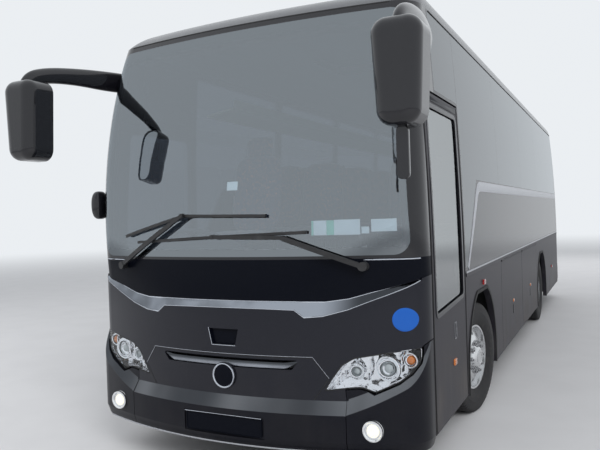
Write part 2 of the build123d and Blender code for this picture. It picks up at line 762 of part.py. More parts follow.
# Bright belt rails, whose lower barrels carry the flaps
flap_pitch = (FLAP_REAR - FLAP_FRONT) / FLAP_COUNT
flap_spans = [
    (FLAP_FRONT + index * flap_pitch + FLAP_GAP, FLAP_FRONT + (index + 1) * flap_pitch - FLAP_GAP)
    for index in range(FLAP_COUNT)
]
RAIL_FACE = 5.0
RAIL_HEIGHT = 34.0
with BuildPart() as belt_rails:
    for side in (-1, 1):
        block(
            (side * (HALF_WIDTH + SEAT_GAP), side * (HALF_WIDTH + RAIL_FACE)),
            (DOOR_REAR + 30.0, REAR_JOINT),
            (BELT - RAIL_LIP, BELT + RAIL_HEIGHT),
        )
        block(
            (side * (HALF_WIDTH - 20.0), side * (HALF_WIDTH + RAIL_FACE)),
            (FLAP_FRONT + 2.0, FLAP_REAR - 2.0),
            (BELT - RAIL_LIP, BELT),
        )
        for low, high in flap_spans:
            for start, end in hinge_spans(low + 30.0, high - 30.0, 0):
                rod((side * HINGE_X, start, HINGE_Z), (side * HINGE_X, end, HINGE_Z), HINGE_RADIUS)
                block(
                    (side * (HINGE_X - 2.5), side * (HINGE_X + 2.5)),
                    (start, end),
                    (HINGE_Z, BELT - RAIL_LIP),
                )
save("belt_rails", belt_rails.part)

# Luggage flaps, hung from the rails, each with a lock recess
LOCK_DROP = 540.0
lower_panel = shell_of(LOWER_ROWS, 0.0, PANEL)
for name, side in (("left", 1), ("right", -1)):
    for index, (low, high) in enumerate(flap_spans):
        with BuildPart() as flap:
            add(lower_panel)
            block(
                (side * 700.0, side * OUTSIDE), (low, high), (FLAP_BOTTOM, FLAP_TOP), mode=Mode.INTERSECT
            )
            for start, end in hinge_spans(low + 30.0, high - 30.0, 1):
                rod((side * HINGE_X, start, HINGE_Z), (side * HINGE_X, end, HINGE_Z), HINGE_RADIUS)
                block(
                    (side * (HINGE_X - 2.5), side * (HINGE_X + 2.0)),
                    (start, end),
                    (FLAP_TOP - 4.0, HINGE_Z),
                )
            with BuildSketch(Plane.YZ.offset(side * (HALF_WIDTH - 12.0)) if side > 0 else
                             Plane.YZ.offset(-HALF_WIDTH - 12.0)) as lock:
                with Locations(((low + high) / 2, FLAP_TOP - LOCK_DROP)):
                    RectangleRounded(70.0, 92.0, 16.0)
            extrude(lock.sketch, amount=24.0, mode=Mode.SUBTRACT)
        save("luggage_flap_" + name + "_" + str(index + 1), flap.part)

# Passenger door of the lower and upper body layers, with its window
DOOR_SIDE = (700.0, OUTSIDE)
DOOR_LUG = 10.0
ARM_EYE = 15.0
DOOR_PIN = 7.0
HANDLE_PLACE = (930.0, 982.0, 760.0, 862.0)
rest = radians(ARM_REST_ANGLE)
DOOR_PIN_X = ARM_PIVOT_X + ARM_REACH * cos(rest)
DOOR_PIN_Y = ARM_PIVOT_Y + ARM_REACH * sin(rest)
DOOR_WINDOW = (
    (DOOR_FRONT + DOOR_GLASS_MARGIN, DOOR_GLASS_LOW),
    (DOOR_REAR - DOOR_GLASS_MARGIN, DOOR_GLASS_LOW + 45.0),
    (DOOR_REAR - DOOR_GLASS_MARGIN, DOOR_TOP - DOOR_GLASS_MARGIN),
    (DOOR_FRONT + DOOR_GLASS_MARGIN, DOOR_TOP - DOOR_GLASS_MARGIN),
)
JOIN_Z = MASK_TOP + 10.0


def door_layer(outer, inner):
    """Joins the lower and upper body layers over the height of the door."""
    with BuildPart() as layer:
        add(shell_of(LOWER_ROWS, outer, inner))
        block(DOOR_SIDE, (DOOR_FRONT, DOOR_REAR), (DOOR_BOTTOM, JOIN_Z), mode=Mode.INTERSECT)
        add(door_upper(outer, inner))
    return layer.part


def door_upper(outer, inner):
    """Takes the upper body layer over the height of the door."""
    with BuildPart() as layer:
        add(shell_of(UPPER_ROWS, outer, inner))
        block(DOOR_SIDE, (DOOR_FRONT, DOOR_REAR), (JOIN_Z, DOOR_TOP), mode=Mode.INTERSECT)
    return layer.part


door_pane = door_layer(9.0, 9.0 + 6.0)
with BuildPart() as passenger_door:
    add(door_layer(0.0, DOOR_THICK))
    pane_prism([DOOR_WINDOW], 1, 0.0, 45.0, mode=Mode.SUBTRACT)
    for height in (ARM_LOW_Z, ARM_HIGH_Z):
        for low in (height - ARM_EYE - DOOR_LUG - SEAT_GAP, height + ARM_EYE + SEAT_GAP):
            block(
                (DOOR_PIN_X - 12.0, HALF_WIDTH - DOOR_THICK + 3.0),
                (DOOR_PIN_Y - 12.0, DOOR_PIN_Y + 12.0),
                (low, low + DOOR_LUG),
            )
        rod(
            (DOOR_PIN_X, DOOR_PIN_Y, height - ARM_EYE - DOOR_LUG),
            (DOOR_PIN_X, DOOR_PIN_Y, height + ARM_EYE + DOOR_LUG),
            DOOR_PIN,
        )
    block(
        (HALF_WIDTH - 14.0, OUTSIDE),
        (NOSE + HANDLE_PLACE[0], NOSE + HANDLE_PLACE[1]),
        (HANDLE_PLACE[2], HANDLE_PLACE[3]),
        mode=Mode.SUBTRACT,
    )
save("passenger_door", passenger_door.part)

with BuildPart() as door_glass:
    add(door_pane)
    pane_prism([DOOR_WINDOW], 1, 0.0, 45.0, mode=Mode.INTERSECT)
save("door_glass", door_glass.part)

# Door column with its two arms, and the bearings that hold it
COLUMN_RADIUS = 20.0
BEARING_THICK = 24.0
COLUMN_LOW = ARM_LOW_Z - 120.0
COLUMN_HIGH = ARM_HIGH_Z + 100.0
WELL_CHEEK = 15.0
with BuildPart() as door_arm:
    rod(
        (ARM_PIVOT_X, ARM_PIVOT_Y, COLUMN_LOW),
        (ARM_PIVOT_X, ARM_PIVOT_Y, COLUMN_HIGH),
        COLUMN_RADIUS,
    )
    for height in (ARM_LOW_Z, ARM_HIGH_Z):
        rod(
            (ARM_PIVOT_X, ARM_PIVOT_Y, height),
            (DOOR_PIN_X - 12.0 * cos(rest), DOOR_PIN_Y - 12.0 * sin(rest), height),
            ARM_RADIUS - 2.0,
        )
        rod(
            (DOOR_PIN_X, DOOR_PIN_Y, height - ARM_EYE),
            (DOOR_PIN_X, DOOR_PIN_Y, height + ARM_EYE),
            ARM_RADIUS,
        )
        rod(
            (DOOR_PIN_X, DOOR_PIN_Y, height - 40.0),
            (DOOR_PIN_X, DOOR_PIN_Y, height + 40.0),
            DOOR_PIN + SEAT_GAP,
            mode=Mode.SUBTRACT,
        )
save("door_arm", door_arm.part)

with BuildPart() as door_bearing:
    block(
        (ARM_PIVOT_X - 45.0, HALF_WIDTH),
        (NOSE + 150.0, ARM_PIVOT_Y + 40.0),
        (COLUMN_HIGH - 14.0 - BEARING_THICK, COLUMN_HIGH - 14.0),
    )
    add(upper_inside, mode=Mode.INTERSECT)
    rod(
        (ARM_PIVOT_X, ARM_PIVOT_Y, COLUMN_LOW - 20.0),
        (ARM_PIVOT_X, ARM_PIVOT_Y, COLUMN_HIGH + 20.0),
        COLUMN_RADIUS + SEAT_GAP,
        mode=Mode.SUBTRACT,
    )
with BuildPart() as front_frame:
    add(windscreen_frame.part)
    add(door_bearing.part)
save("windscreen_frame", front_frame.part)

# Rear wall with its window opening, the engine lid opening and the lid's hinge barrels
REAR_ZONE = (REAR_JOINT, TAIL + 100.0)
REAR_WINDOW_LOW = 1800.0
REAR_WINDOW_HIGH = 2620.0
REAR_WINDOW_HALF = 960.0
REAR_BUMPER_TOP = 585.0
TAIL_LAMP_X = (985.0, 1105.0)
TAIL_LAMP_Z = (700.0, 1400.0)
LID_GAP = 6.0
REAR_STEP = 1.5
REAR_WINDOW = (
    (-REAR_WINDOW_HALF, REAR_WINDOW_LOW),
    (REAR_WINDOW_HALF, REAR_WINDOW_LOW),
    (REAR_WINDOW_HALF - 40.0, REAR_WINDOW_HIGH),
    (40.0 - REAR_WINDOW_HALF, REAR_WINDOW_HIGH),
)


def rear_prism(points, change, corner, mode=Mode.ADD):
    """Extrudes an outline given in X and Z through the rear wall."""
    with BuildSketch(Plane.XZ.offset(-REAR_ZONE[1])) as face:
        with BuildLine():
            Polyline(*points, close=True)
        make_face()
        if change:
            offset(amount=change, kind=Kind.INTERSECTION, mode=Mode.REPLACE)
        fillet(face.vertices(), corner)
    extrude(face.sketch, amount=600.0, mode=mode)


def rear_layer(outer, inner, bottom, top):
    """Joins the lower and upper body layers across the rear, the lower one set in by a small step."""
    with BuildPart() as upper:
        add(shell_of(UPPER_ROWS, outer, inner))
        block((-OUTSIDE, OUTSIDE), REAR_ZONE, (JOIN_Z, top), mode=Mode.INTERSECT)
    with BuildPart() as layer:
        add(shell_of(LOWER_ROWS, outer + REAR_STEP, inner + REAR_STEP))
        block((-OUTSIDE, OUTSIDE), REAR_ZONE, (bottom, JOIN_Z), mode=Mode.INTERSECT)
        add(upper.part)
    return layer.part


with BuildPart() as rear_wall:
    add(rear_layer(0.0, WALL, REAR_BUMPER_TOP, CANTRAIL))
    block(
        (-LID_HALF - LID_GAP, LID_HALF + LID_GAP),
        REAR_ZONE,
        (LID_BOTTOM - LID_GAP, LID_HINGE_Z + HINGE_DROP),
        mode=Mode.SUBTRACT,
    )
    rear_prism(REAR_WINDOW, GLASS_SEAT, 60.0, mode=Mode.SUBTRACT)
    for side in (-1, 1):
        block(
            (side * TAIL_LAMP_X[0], side * TAIL_LAMP_X[1]),
            (TAIL - 150.0, TAIL + 50.0),
            TAIL_LAMP_Z,
            mode=Mode.SUBTRACT,
        )
    for start, end in hinge_spans(-LID_HALF + 40.0, LID_HALF - 40.0, 0):
        rod((start, LID_HINGE_Y, LID_HINGE_Z), (end, LID_HINGE_Y, LID_HINGE_Z), HINGE_RADIUS)
        block(
            (start, end),
            (LID_HINGE_Y - 3.0, LID_HINGE_Y + 2.0),
            (LID_HINGE_Z, LID_HINGE_Z + HINGE_DROP + 4.0),
        )
save("rear_wall", rear_wall.part)

with BuildPart() as windows:
    add(upper_skin)
    rear_prism(REAR_WINDOW, 0.0, 60.0, mode=Mode.INTERSECT)
    add(side_panes["left"])
    add(side_panes["right"])
save("windows", windows.part)

# Engine lid with cooling slots
SLOT_COUNT = 9
SLOT_PITCH = 42.0
SLOT_HEIGHT = 16.0
SLOT_START = LID_BOTTOM + 420.0
with BuildPart() as engine_lid:
    add(rear_layer(0.0, PANEL, LID_BOTTOM, LID_TOP))
    block((-LID_HALF, LID_HALF), REAR_ZONE, (LID_BOTTOM, LID_TOP), mode=Mode.INTERSECT)
    for index in range(SLOT_COUNT):
        low = SLOT_START + index * SLOT_PITCH
        block((-560.0, 560.0), REAR_ZONE, (low, low + SLOT_HEIGHT), mode=Mode.SUBTRACT)
    for start, end in hinge_spans(-LID_HALF + 40.0, LID_HALF - 40.0, 1):
        rod((start, LID_HINGE_Y, LID_HINGE_Z), (end, LID_HINGE_Y, LID_HINGE_Z), HINGE_RADIUS)
        block(
            (start, end),
            (LID_HINGE_Y - 3.0, LID_HINGE_Y + 2.0),
            (LID_TOP - 4.0, LID_HINGE_Z),
        )
save("engine_lid", engine_lid.part)

# Rear bumper
REAR_BUMPER_ROWS = (
    (SKIRT_BOTTOM, HALF_WIDTH - 10.0, 0.0, -REAR_BUMPER_REACH + 12.0, BOW_LOW),
    (SKIRT_BOTTOM + 60.0, HALF_WIDTH, 0.0, -REAR_BUMPER_REACH, BOW_LOW),
    (REAR_BUMPER_TOP - 50.0, HALF_WIDTH, 0.0, -REAR_BUMPER_REACH, BOW_LOW),
    (REAR_BUMPER_TOP, HALF_WIDTH, 0.0, 0.0, BOW_LOW),
)
with BuildPart() as rear_bumper:
    add(shell_of(REAR_BUMPER_ROWS, 0.0, WALL, ruled=True))
    block((-OUTSIDE, OUTSIDE), REAR_ZONE, (0.0, REAR_BUMPER_TOP), mode=Mode.INTERSECT)
save("rear_bumper", rear_bumper.part)

# Tail lamps in the rear wall's two tall openings
with BuildPart() as tail_lamps:
    add(rear_layer(-6.0, 30.0, TAIL_LAMP_Z[0], TAIL_LAMP_Z[1]))
    with BuildPart(mode=Mode.PRIVATE) as lamp_space:
        for side in (-1, 1):
            block((side * TAIL_LAMP_X[0], side * TAIL_LAMP_X[1]), REAR_ZONE, TAIL_LAMP_Z)
    add(lamp_space.part, mode=Mode.INTERSECT)
save("tail_lamps", tail_lamps.part)

# Roof with its two hatch collars
COLLAR = 24.0
COLLAR_HEIGHT = 30.0
HATCH_OPENING = HATCH_SIDE - 90.0
ROOF_INNER = [ROOF_ROWS[0]] + [(row[0] - WALL, *row[1:]) for row in ROOF_ROWS[1:]]
with BuildPart() as roof_panel:
    add(body_loft(ROOF_ROWS))
    add(body_loft(ROOF_INNER, WALL), mode=Mode.SUBTRACT)
    for centre in HATCH_CENTRES:
        with Locations((0, centre, ROOF_TOP)):
            Box(
                HATCH_OPENING + 2 * COLLAR,
                HATCH_OPENING + 2 * COLLAR,
                COLLAR_HEIGHT,
                align=(Align.CENTER, Align.CENTER, Align.MIN),
            )
        with Locations((0, centre, ROOF_TOP - 60.0)):
            Box(
                HATCH_OPENING,
                HATCH_OPENING,
                200.0,
                align=(Align.CENTER, Align.CENTER, Align.MIN),
                mode=Mode.SUBTRACT,
            )
        with Locations((0, centre - HATCH_SIDE / 2 - 14.0, ROOF_TOP)):
            Box(HATCH_OPENING, 16.0, 14.0, align=(Align.CENTER, Align.CENTER, Align.MIN))
save("roof_panel", roof_panel.part)

# Roof hatches: lids over the collars, hinged on barrels at their front edges
HATCH_THICK = 22.0
HATCH_RIM = 14.0
HATCH_CORNER = 38.0
for index, centre in enumerate(HATCH_CENTRES):
    base = ROOF_TOP + COLLAR_HEIGHT + SEAT_GAP
    with BuildPart() as roof_hatch:
        with BuildSketch(Plane.XY.offset(base)):
            with Locations((0, centre)):
                RectangleRounded(HATCH_SIDE, HATCH_SIDE, HATCH_CORNER)
        extrude(amount=HATCH_THICK)
        fillet(roof_hatch.faces().sort_by(Axis.Z)[-1].edges(), 10.0)
        with BuildSketch(Plane.XY.offset(base)):
            with Locations((0, centre)):
                RectangleRounded(HATCH_SIDE, HATCH_SIDE, HATCH_CORNER)
                RectangleRounded(
                    HATCH_SIDE - 12.0, HATCH_SIDE - 12.0, HATCH_CORNER - 6.0, mode=Mode.SUBTRACT
                )
        extrude(amount=-HATCH_RIM)
    save("roof_hatch_" + str(index + 1), roof_hatch.part)

# Air conditioning unit on the roof
UNIT_TAPER = 26.0
with BuildPart() as roof_unit:
    with BuildSketch(Plane.XY.offset(ROOF_TOP)):
        with Locations((0, UNIT_CENTRE)):
            RectangleRounded(2 * UNIT_HALF, UNIT_LENGTH, 160.0)
    extrude(amount=UNIT_HEIGHT, taper=UNIT_TAPER)
    fillet(roof_unit.faces().sort_by(Axis.Z)[-1].edges(), 40.0)
    for side in (-1, 1):
        for step in (-1, 1):
            with BuildSketch(Plane.XY.offset(ROOF_TOP + UNIT_HEIGHT - 30.0)):
                with Locations((side * 300.0, UNIT_CENTRE + step * 520.0)):
                    Circle(210.0)
                    Circle(60.0, mode=Mode.SUBTRACT)
            extrude(amount=60.0, mode=Mode.SUBTRACT)
save("roof_unit", roof_unit.part)

# Mirror arms: goosenecks from the upper front corners
MIRROR_X = 1258.0
MIRROR_TOP = 2540.0
MIRROR_HEIGHT = 520.0
MIRROR_WIDTH = 266.0
MIRROR_FOOT = 214.0
MIRROR_DEPTH = 200.0
MIRROR_CORNER = 80.0
MIRROR_RIM = 12.0
MIRROR_Y = NOSE - MIRROR_REACH + MIRROR_DEPTH / 2
NECK_HALF_WIDE = 36.0
NECK_HALF_TALL = 48.0
NECK_BEND = 120.0
NECK_ROOT = (1138.0, NOSE + 560.0, 2700.0)
NECK_KNEE = (1240.0, NOSE + 170.0, 2765.0)
NECK_END = (MIRROR_X, MIRROR_Y, MIRROR_TOP - 60.0)
BRACKET_WIDE = 62.0
BRACKET_DROP = 255.0
BRACKET_THICK = 30.0
mirror_top = (MIRROR_X, MIRROR_Y + 60.0, 2720.0)
mirror_low = MIRROR_TOP - MIRROR_HEIGHT


def neck_sweep(change, mode=Mode.ADD):
    """Sweeps a mirror arm's oval section, grown or not, along its arch."""
    with BuildLine() as neck:
        FilletPolyline(NECK_ROOT, NECK_KNEE, mirror_top, NECK_END, radius=NECK_BEND)
    start = neck.line % 0
    across = (-start.Y, start.X, 0.0)
    with BuildSketch(Plane(origin=neck.line @ 0, x_dir=across, z_dir=start)) as oval:
        Ellipse(NECK_HALF_WIDE + change, NECK_HALF_TALL + change)
    sweep(oval.sketch, path=neck.line, mode=mode)


def mirror_face(side, change, back):
    """Draws the outline of a mirror head, grown or shrunk, some way behind its middle."""
    with BuildSketch(Plane.XZ.offset(-(MIRROR_Y + back))) as face:
        with BuildLine():
            Polyline(
                (side * MIRROR_X - MIRROR_FOOT / 2, mirror_low),
                (side * MIRROR_X + MIRROR_FOOT / 2, mirror_low),
                (side * MIRROR_X + MIRROR_WIDTH / 2, MIRROR_TOP),
                (side * MIRROR_X - MIRROR_WIDTH / 2, MIRROR_TOP),
                close=True,
            )
        make_face()
        if change:
            offset(amount=change, kind=Kind.INTERSECTION, mode=Mode.REPLACE)
        fillet(face.vertices(), MIRROR_CORNER + change)
    return face.sketch


with BuildPart() as mirror_arm:
    neck_sweep(0.0)
    with BuildSketch(Plane.YZ.offset(1050.0)):
        with Locations((NECK_ROOT[1] + 10.0, NECK_ROOT[2])):
            RectangleRounded(190.0, 150.0, 45.0)
    extrude(amount=110.0)
    add(body_loft(UPPER_ROWS, -SEAT_GAP), mode=Mode.SUBTRACT)
mirror_arm_solid = mirror_arm.part.solids().sort_by(SortBy.VOLUME)[-1]
# A flat bracket with a round end hangs under the left head
with BuildPart() as low_bracket:
    with BuildSketch(Plane.XZ.offset(-(MIRROR_Y + BRACKET_THICK))):
        with Locations((MIRROR_X, mirror_low - BRACKET_DROP / 2 + BRACKET_WIDE / 2)):
            RectangleRounded(BRACKET_WIDE, BRACKET_DROP + BRACKET_WIDE, BRACKET_WIDE / 2 - 1.0)
    extrude(amount=BRACKET_THICK)
    block((MIRROR_X - 100.0, MIRROR_X + 100.0), (MIRROR_Y - 50.0, MIRROR_Y + 50.0),
          (mirror_low, mirror_low + 100.0), mode=Mode.SUBTRACT)
with BuildPart() as mirror_arms:
    add(mirror_arm_solid)
    mirror(about=Plane.YZ)
    add(low_bracket.part)
save("mirror_arms", mirror_arms.part)

# Mirror heads, dished at the back for the glass
with BuildPart() as mirror_head:
    extrude(mirror_face(1, 0.0, MIRROR_DEPTH / 2), amount=MIRROR_DEPTH)
    fillet(mirror_head.faces().sort_by(Axis.Y)[0].edges(), 70.0)
    extrude(mirror_face(1, -MIRROR_RIM, MIRROR_DEPTH / 2), amount=14.0, mode=Mode.SUBTRACT)
    neck_sweep(SEAT_GAP, mode=Mode.SUBTRACT)
mirror_shell = mirror_head.part.solids().sort_by(SortBy.VOLUME)[-1]
with BuildPart() as mirror_heads:
    add(mirror_shell)
    mirror(about=Plane.YZ)
save("mirror_heads", mirror_heads.part)

with BuildPart() as mirror_glasses:
    for side in (-1, 1):
        extrude(mirror_face(side, -MIRROR_RIM - SEAT_GAP, MIRROR_DEPTH / 2 - 8.0), amount=5.7)
save("mirror_glasses", mirror_glasses.part)

# Wipers that follow the windscreen: X and Z of shaft, arm's knee, blade's middle and ends
BLADE_LOW = 12.0
BLADE_HIGH = 32.0
ARM_LOW = 34.0
ARM_HIGH = 54.0
ARM_HALF = 14.0
BLADE_HALF = 9.0
WIPER_ZONE = (NOSE - 120.0, NOSE + 400.0)
WIPER_RUNS = (
    ((-WIPER_PIVOT_X, WIPER_PIVOT_Z), (-390.0, 1576.0), (-301.0, 1627.0), (-836.0, 1503.0), (300.0, 1611.0)),
    ((WIPER_PIVOT_X, WIPER_PIVOT_Z), (413.0, 1478.0), (-60.0, 1490.0), (-712.0, 1462.0), (556.0, 1508.0)),
)


def strip(start, end, half):
    """Lists the corners of a straight strip between two points in X and Z."""
    run = Vector(end[0] - start[0], end[1] - start[1]).normalized() * half
    return (
        (start[0] - run.Y, start[1] + run.X),
        (start[0] + run.Y, start[1] - run.X),
        (end[0] + run.Y, end[1] - run.X),
        (end[0] - run.Y, end[1] + run.X),
    )


with BuildPart() as wiper_arms:
    for shaft, knee, middle, tip, end in WIPER_RUNS:
        front_prism(strip(shaft, knee, ARM_HALF), WIPER_ZONE)
        front_prism(strip(knee, middle, ARM_HALF - 3.0), WIPER_ZONE)
    add(shell_of(UPPER_ROWS, -ARM_HIGH, -ARM_LOW), mode=Mode.INTERSECT)
with BuildPart() as wiper_blades:
    for shaft, knee, middle, tip, end in WIPER_RUNS:
        front_prism(strip(tip, middle, BLADE_HALF), WIPER_ZONE)
        front_prism(strip(middle, end, BLADE_HALF), WIPER_ZONE)
    add(shell_of(UPPER_ROWS, -BLADE_HIGH, -BLADE_LOW), mode=Mode.INTERSECT)
with BuildPart() as wiper_bosses:
    for shaft, knee, middle, tip, end in WIPER_RUNS:
        for place, radius in ((middle, 14.0), (shaft, 26.0)):
            with BuildSketch(Plane.XZ.offset(-WIPER_ZONE[1])):
                with Locations(place):
                    Circle(radius)
            extrude(amount=WIPER_ZONE[1] - WIPER_ZONE[0])
    add(shell_of(UPPER_ROWS, -ARM_HIGH - 2.0, -BLADE_LOW - 2.0), mode=Mode.INTERSECT)
with BuildPart() as wiper_shafts:
    for side in (-1, 1):
        with BuildSketch(Plane.XZ.offset(-WIPER_ZONE[1])):
            with Locations((side * WIPER_PIVOT_X, WIPER_PIVOT_Z)):
                Circle(WIPER_SHAFT)
        extrude(amount=WIPER_ZONE[1] - WIPER_ZONE[0])
    add(shell_of(UPPER_ROWS, -ARM_LOW, -SEAT_GAP), mode=Mode.INTERSECT)
with BuildPart() as wipers:
    for piece in (wiper_arms, wiper_blades, wiper_bosses, wiper_shafts):
        add(piece.part)
save("wipers", wipers.part)

# Floor with the entrance well cut out
WELL_INNER = 320.0
with BuildPart() as floor:
    add(body_loft(LOWER_ROWS, WALL + SEAT_GAP))
    block((-OUTSIDE, OUTSIDE), (NOSE, REAR_JOINT), (FLOOR_UNDER, FLOOR_TOP), mode=Mode.INTERSECT)
    block((WELL_INNER, OUTSIDE), (DOOR_FRONT, DOOR_REAR), (0.0, 2000.0), mode=Mode.SUBTRACT)
save("floor", floor.part)

# Entrance steps between two cheeks
STEP_PLATE = 30.0
STEP_HEIGHTS = (380.0, 600.0, 830.0)
STEP_EDGES = (HALF_WIDTH - 50.0, 850.0, 600.0, WELL_INNER + STEP_PLATE)
step_top = [(STEP_EDGES[0], STEP_HEIGHTS[0])]
for index, height in enumerate(STEP_HEIGHTS):
    step_top.append((STEP_EDGES[index + 1], height))
    step_top.append((STEP_EDGES[index + 1], (STEP_HEIGHTS + (FLOOR_TOP,))[index + 1]))
step_under = [(x - STEP_PLATE, z - STEP_PLATE) for x, z in reversed(step_top)]
step_under[0] = (WELL_INNER, FLOOR_TOP)
step_under[-1] = (STEP_EDGES[0], STEP_HEIGHTS[0] - STEP_PLATE)
STEP_SIDES = (DOOR_FRONT, DOOR_REAR)
with BuildPart() as entrance_steps:
    front_prism(step_top + step_under, STEP_SIDES)
    cheek = [(STEP_EDGES[0], FLOOR_TOP)] + step_under[::1] + [(STEP_EDGES[0], STEP_HEIGHTS[0])]
    for low in (STEP_SIDES[0], STEP_SIDES[1] - WELL_CHEEK):
        front_prism(cheek, (low, low + WELL_CHEEK))
    block(
        (ARM_PIVOT_X - 45.0, STEP_EDGES[0]),
        (DOOR_FRONT + WELL_CHEEK - 1.0, ARM_PIVOT_Y + 40.0),
        (COLUMN_LOW + 14.0, COLUMN_LOW + 14.0 + BEARING_THICK),
    )
    rod(
        (ARM_PIVOT_X, ARM_PIVOT_Y, COLUMN_LOW - 20.0),
        (ARM_PIVOT_X, ARM_PIVOT_Y, COLUMN_LOW + 80.0),
        COLUMN_RADIUS + SEAT_GAP,
        mode=Mode.SUBTRACT,
    )
save("entrance_steps", entrance_steps.part)

# Wheel housings: end walls and inner walls hung under the floor
HOUSING_LOW = 330.0
HOUSING_INNER = (585.0, 525.0)
HOUSING_WALL = 15.0
HOUSING_OPEN = 620.0
with BuildPart() as wheel_housings:
    for axle, radius, inner in (
        (FRONT_AXLE, ARCH_RADIUS, HOUSING_INNER[0]),
        (REAR_AXLE, REAR_ARCH_RADIUS, HOUSING_INNER[1]),
    ):
        reach = radius + 12.0
        for side in (-1, 1):
            outer = HALF_WIDTH - WALL
            block((side * inner, side * outer), (axle - reach, axle - reach + HOUSING_WALL),
                  (HOUSING_LOW, FLOOR_UNDER))
            block((side * inner, side * outer), (axle + reach - HOUSING_WALL, axle + reach),
                  (HOUSING_LOW, FLOOR_UNDER))
            block((side * inner, side * (inner + HOUSING_WALL)), (axle - reach, axle + reach),
                  (HOUSING_OPEN, FLOOR_UNDER))
save("wheel_housings", wheel_housings.part)

# Luggage bays between the axles, open to the flaps
BAY_INNER = 480.0
BAY_FLOOR = 330.0
BAY_PLATE = 16.0
BAY_FRONT = FLAP_FRONT - 40.0
BAY_REAR = FLAP_REAR + 40.0
with BuildPart() as luggage_bays:
    for side in (-1, 1):
        outer = HALF_WIDTH - WALL
        block((side * BAY_INNER, side * outer), (BAY_FRONT, BAY_REAR), (BAY_FLOOR, BAY_FLOOR + BAY_PLATE))
        block((side * BAY_INNER, side * (BAY_INNER + BAY_PLATE)), (BAY_FRONT, BAY_REAR),
              (BAY_FLOOR, FLOOR_UNDER))
        for low in (BAY_FRONT, BAY_REAR - BAY_PLATE):
            block((side * BAY_INNER, side * outer), (low, low + BAY_PLATE), (BAY_FLOOR, FLOOR_UNDER))
save("luggage_bays", luggage_bays.part)

# Chassis: two channel rails, tubes between them, stools under the floor and side tanks
RAIL_WEB = 10.0
STOOL_PITCH = 1180.0
TUBE_END = RAIL_X + RAIL_WIDTH / 2 - RAIL_WEB + 1.0
ENGINE_FRONT = REAR_AXLE + 1150.0
TANK_START = REAR_AXLE + 680.0
PAD_THICK = 15.0
rail_middle = (RAIL_LOW + RAIL_HIGH) / 2
with BuildPart() as chassis_frame:
    for side in (-1, 1):
        outer = RAIL_X + RAIL_WIDTH / 2
        inner = RAIL_X - RAIL_WIDTH / 2
        block((side * inner, side * outer), (RAIL_FRONT, RAIL_REAR), (RAIL_LOW, RAIL_HIGH))
        block((side * (inner - 1.0), side * (outer - RAIL_WEB)), (RAIL_FRONT, RAIL_REAR),
              (RAIL_LOW + RAIL_WEB, RAIL_HIGH - RAIL_WEB), mode=Mode.SUBTRACT)
    stool_count = int((RAIL_REAR - RAIL_FRONT - 200.0) // STOOL_PITCH) + 1
    for index in range(stool_count):
        place = RAIL_FRONT + 100.0 + index * STOOL_PITCH
        if place < ENGINE_FRONT - 60.0:
            rod((-TUBE_END, place, rail_middle), (TUBE_END, place, rail_middle), 45.0)
        for side in (-1, 1):
            if side < 0 or place > DOOR_REAR:
                block((side * (RAIL_X - 35.0), side * (RAIL_X + 35.0)), (place - 30.0, place + 30.0),
                      (RAIL_HIGH, FLOOR_UNDER))
    for side in (-1, 1):
        for place in (FRONT_AXLE - 450.0, REAR_AXLE + 500.0):
            block((side * (RAIL_X - 55.0), side * (RAIL_X + 55.0)), (place - 55.0, place + 55.0),
                  (RAIL_LOW - PAD_THICK, RAIL_LOW))
# Fuel tank and battery box, hung on the outside of the rails
with BuildPart() as side_tanks:
    for side in (-1, 1):
        block((side * (RAIL_X + RAIL_WIDTH / 2 + SEAT_GAP), side * 1080.0),
              (TANK_START, TANK_START + 760.0), (380.0, 830.0))
with BuildPart() as chassis_with_tanks:
    add(chassis_frame.part)
    add(side_tanks.part)
save("chassis_frame", chassis_with_tanks.part)

# Front axle beam with kingpin eyes and air springs under the rails
EYE_HALF = 68.0
EYE_RADIUS = 46.0
KINGPIN_RADIUS = 22.0
with BuildPart() as front_axle:
    rod((-KINGPIN_X, FRONT_AXLE, AXLE_Z), (KINGPIN_X, FRONT_AXLE, AXLE_Z), 38.0)
    for side in (-1, 1):
        rod((side * KINGPIN_X, FRONT_AXLE, AXLE_Z - EYE_HALF),
            (side * KINGPIN_X, FRONT_AXLE, AXLE_Z + EYE_HALF), EYE_RADIUS)
        rod((side * KINGPIN_X, FRONT_AXLE, AXLE_Z - 200.0),
            (side * KINGPIN_X, FRONT_AXLE, AXLE_Z + 200.0), KINGPIN_RADIUS + SEAT_GAP,
            mode=Mode.SUBTRACT)
        rod((side * RAIL_X, FRONT_AXLE, AXLE_Z), (side * RAIL_X, FRONT_AXLE, RAIL_LOW), 60.0)
save("front_axle", front_axle.part)

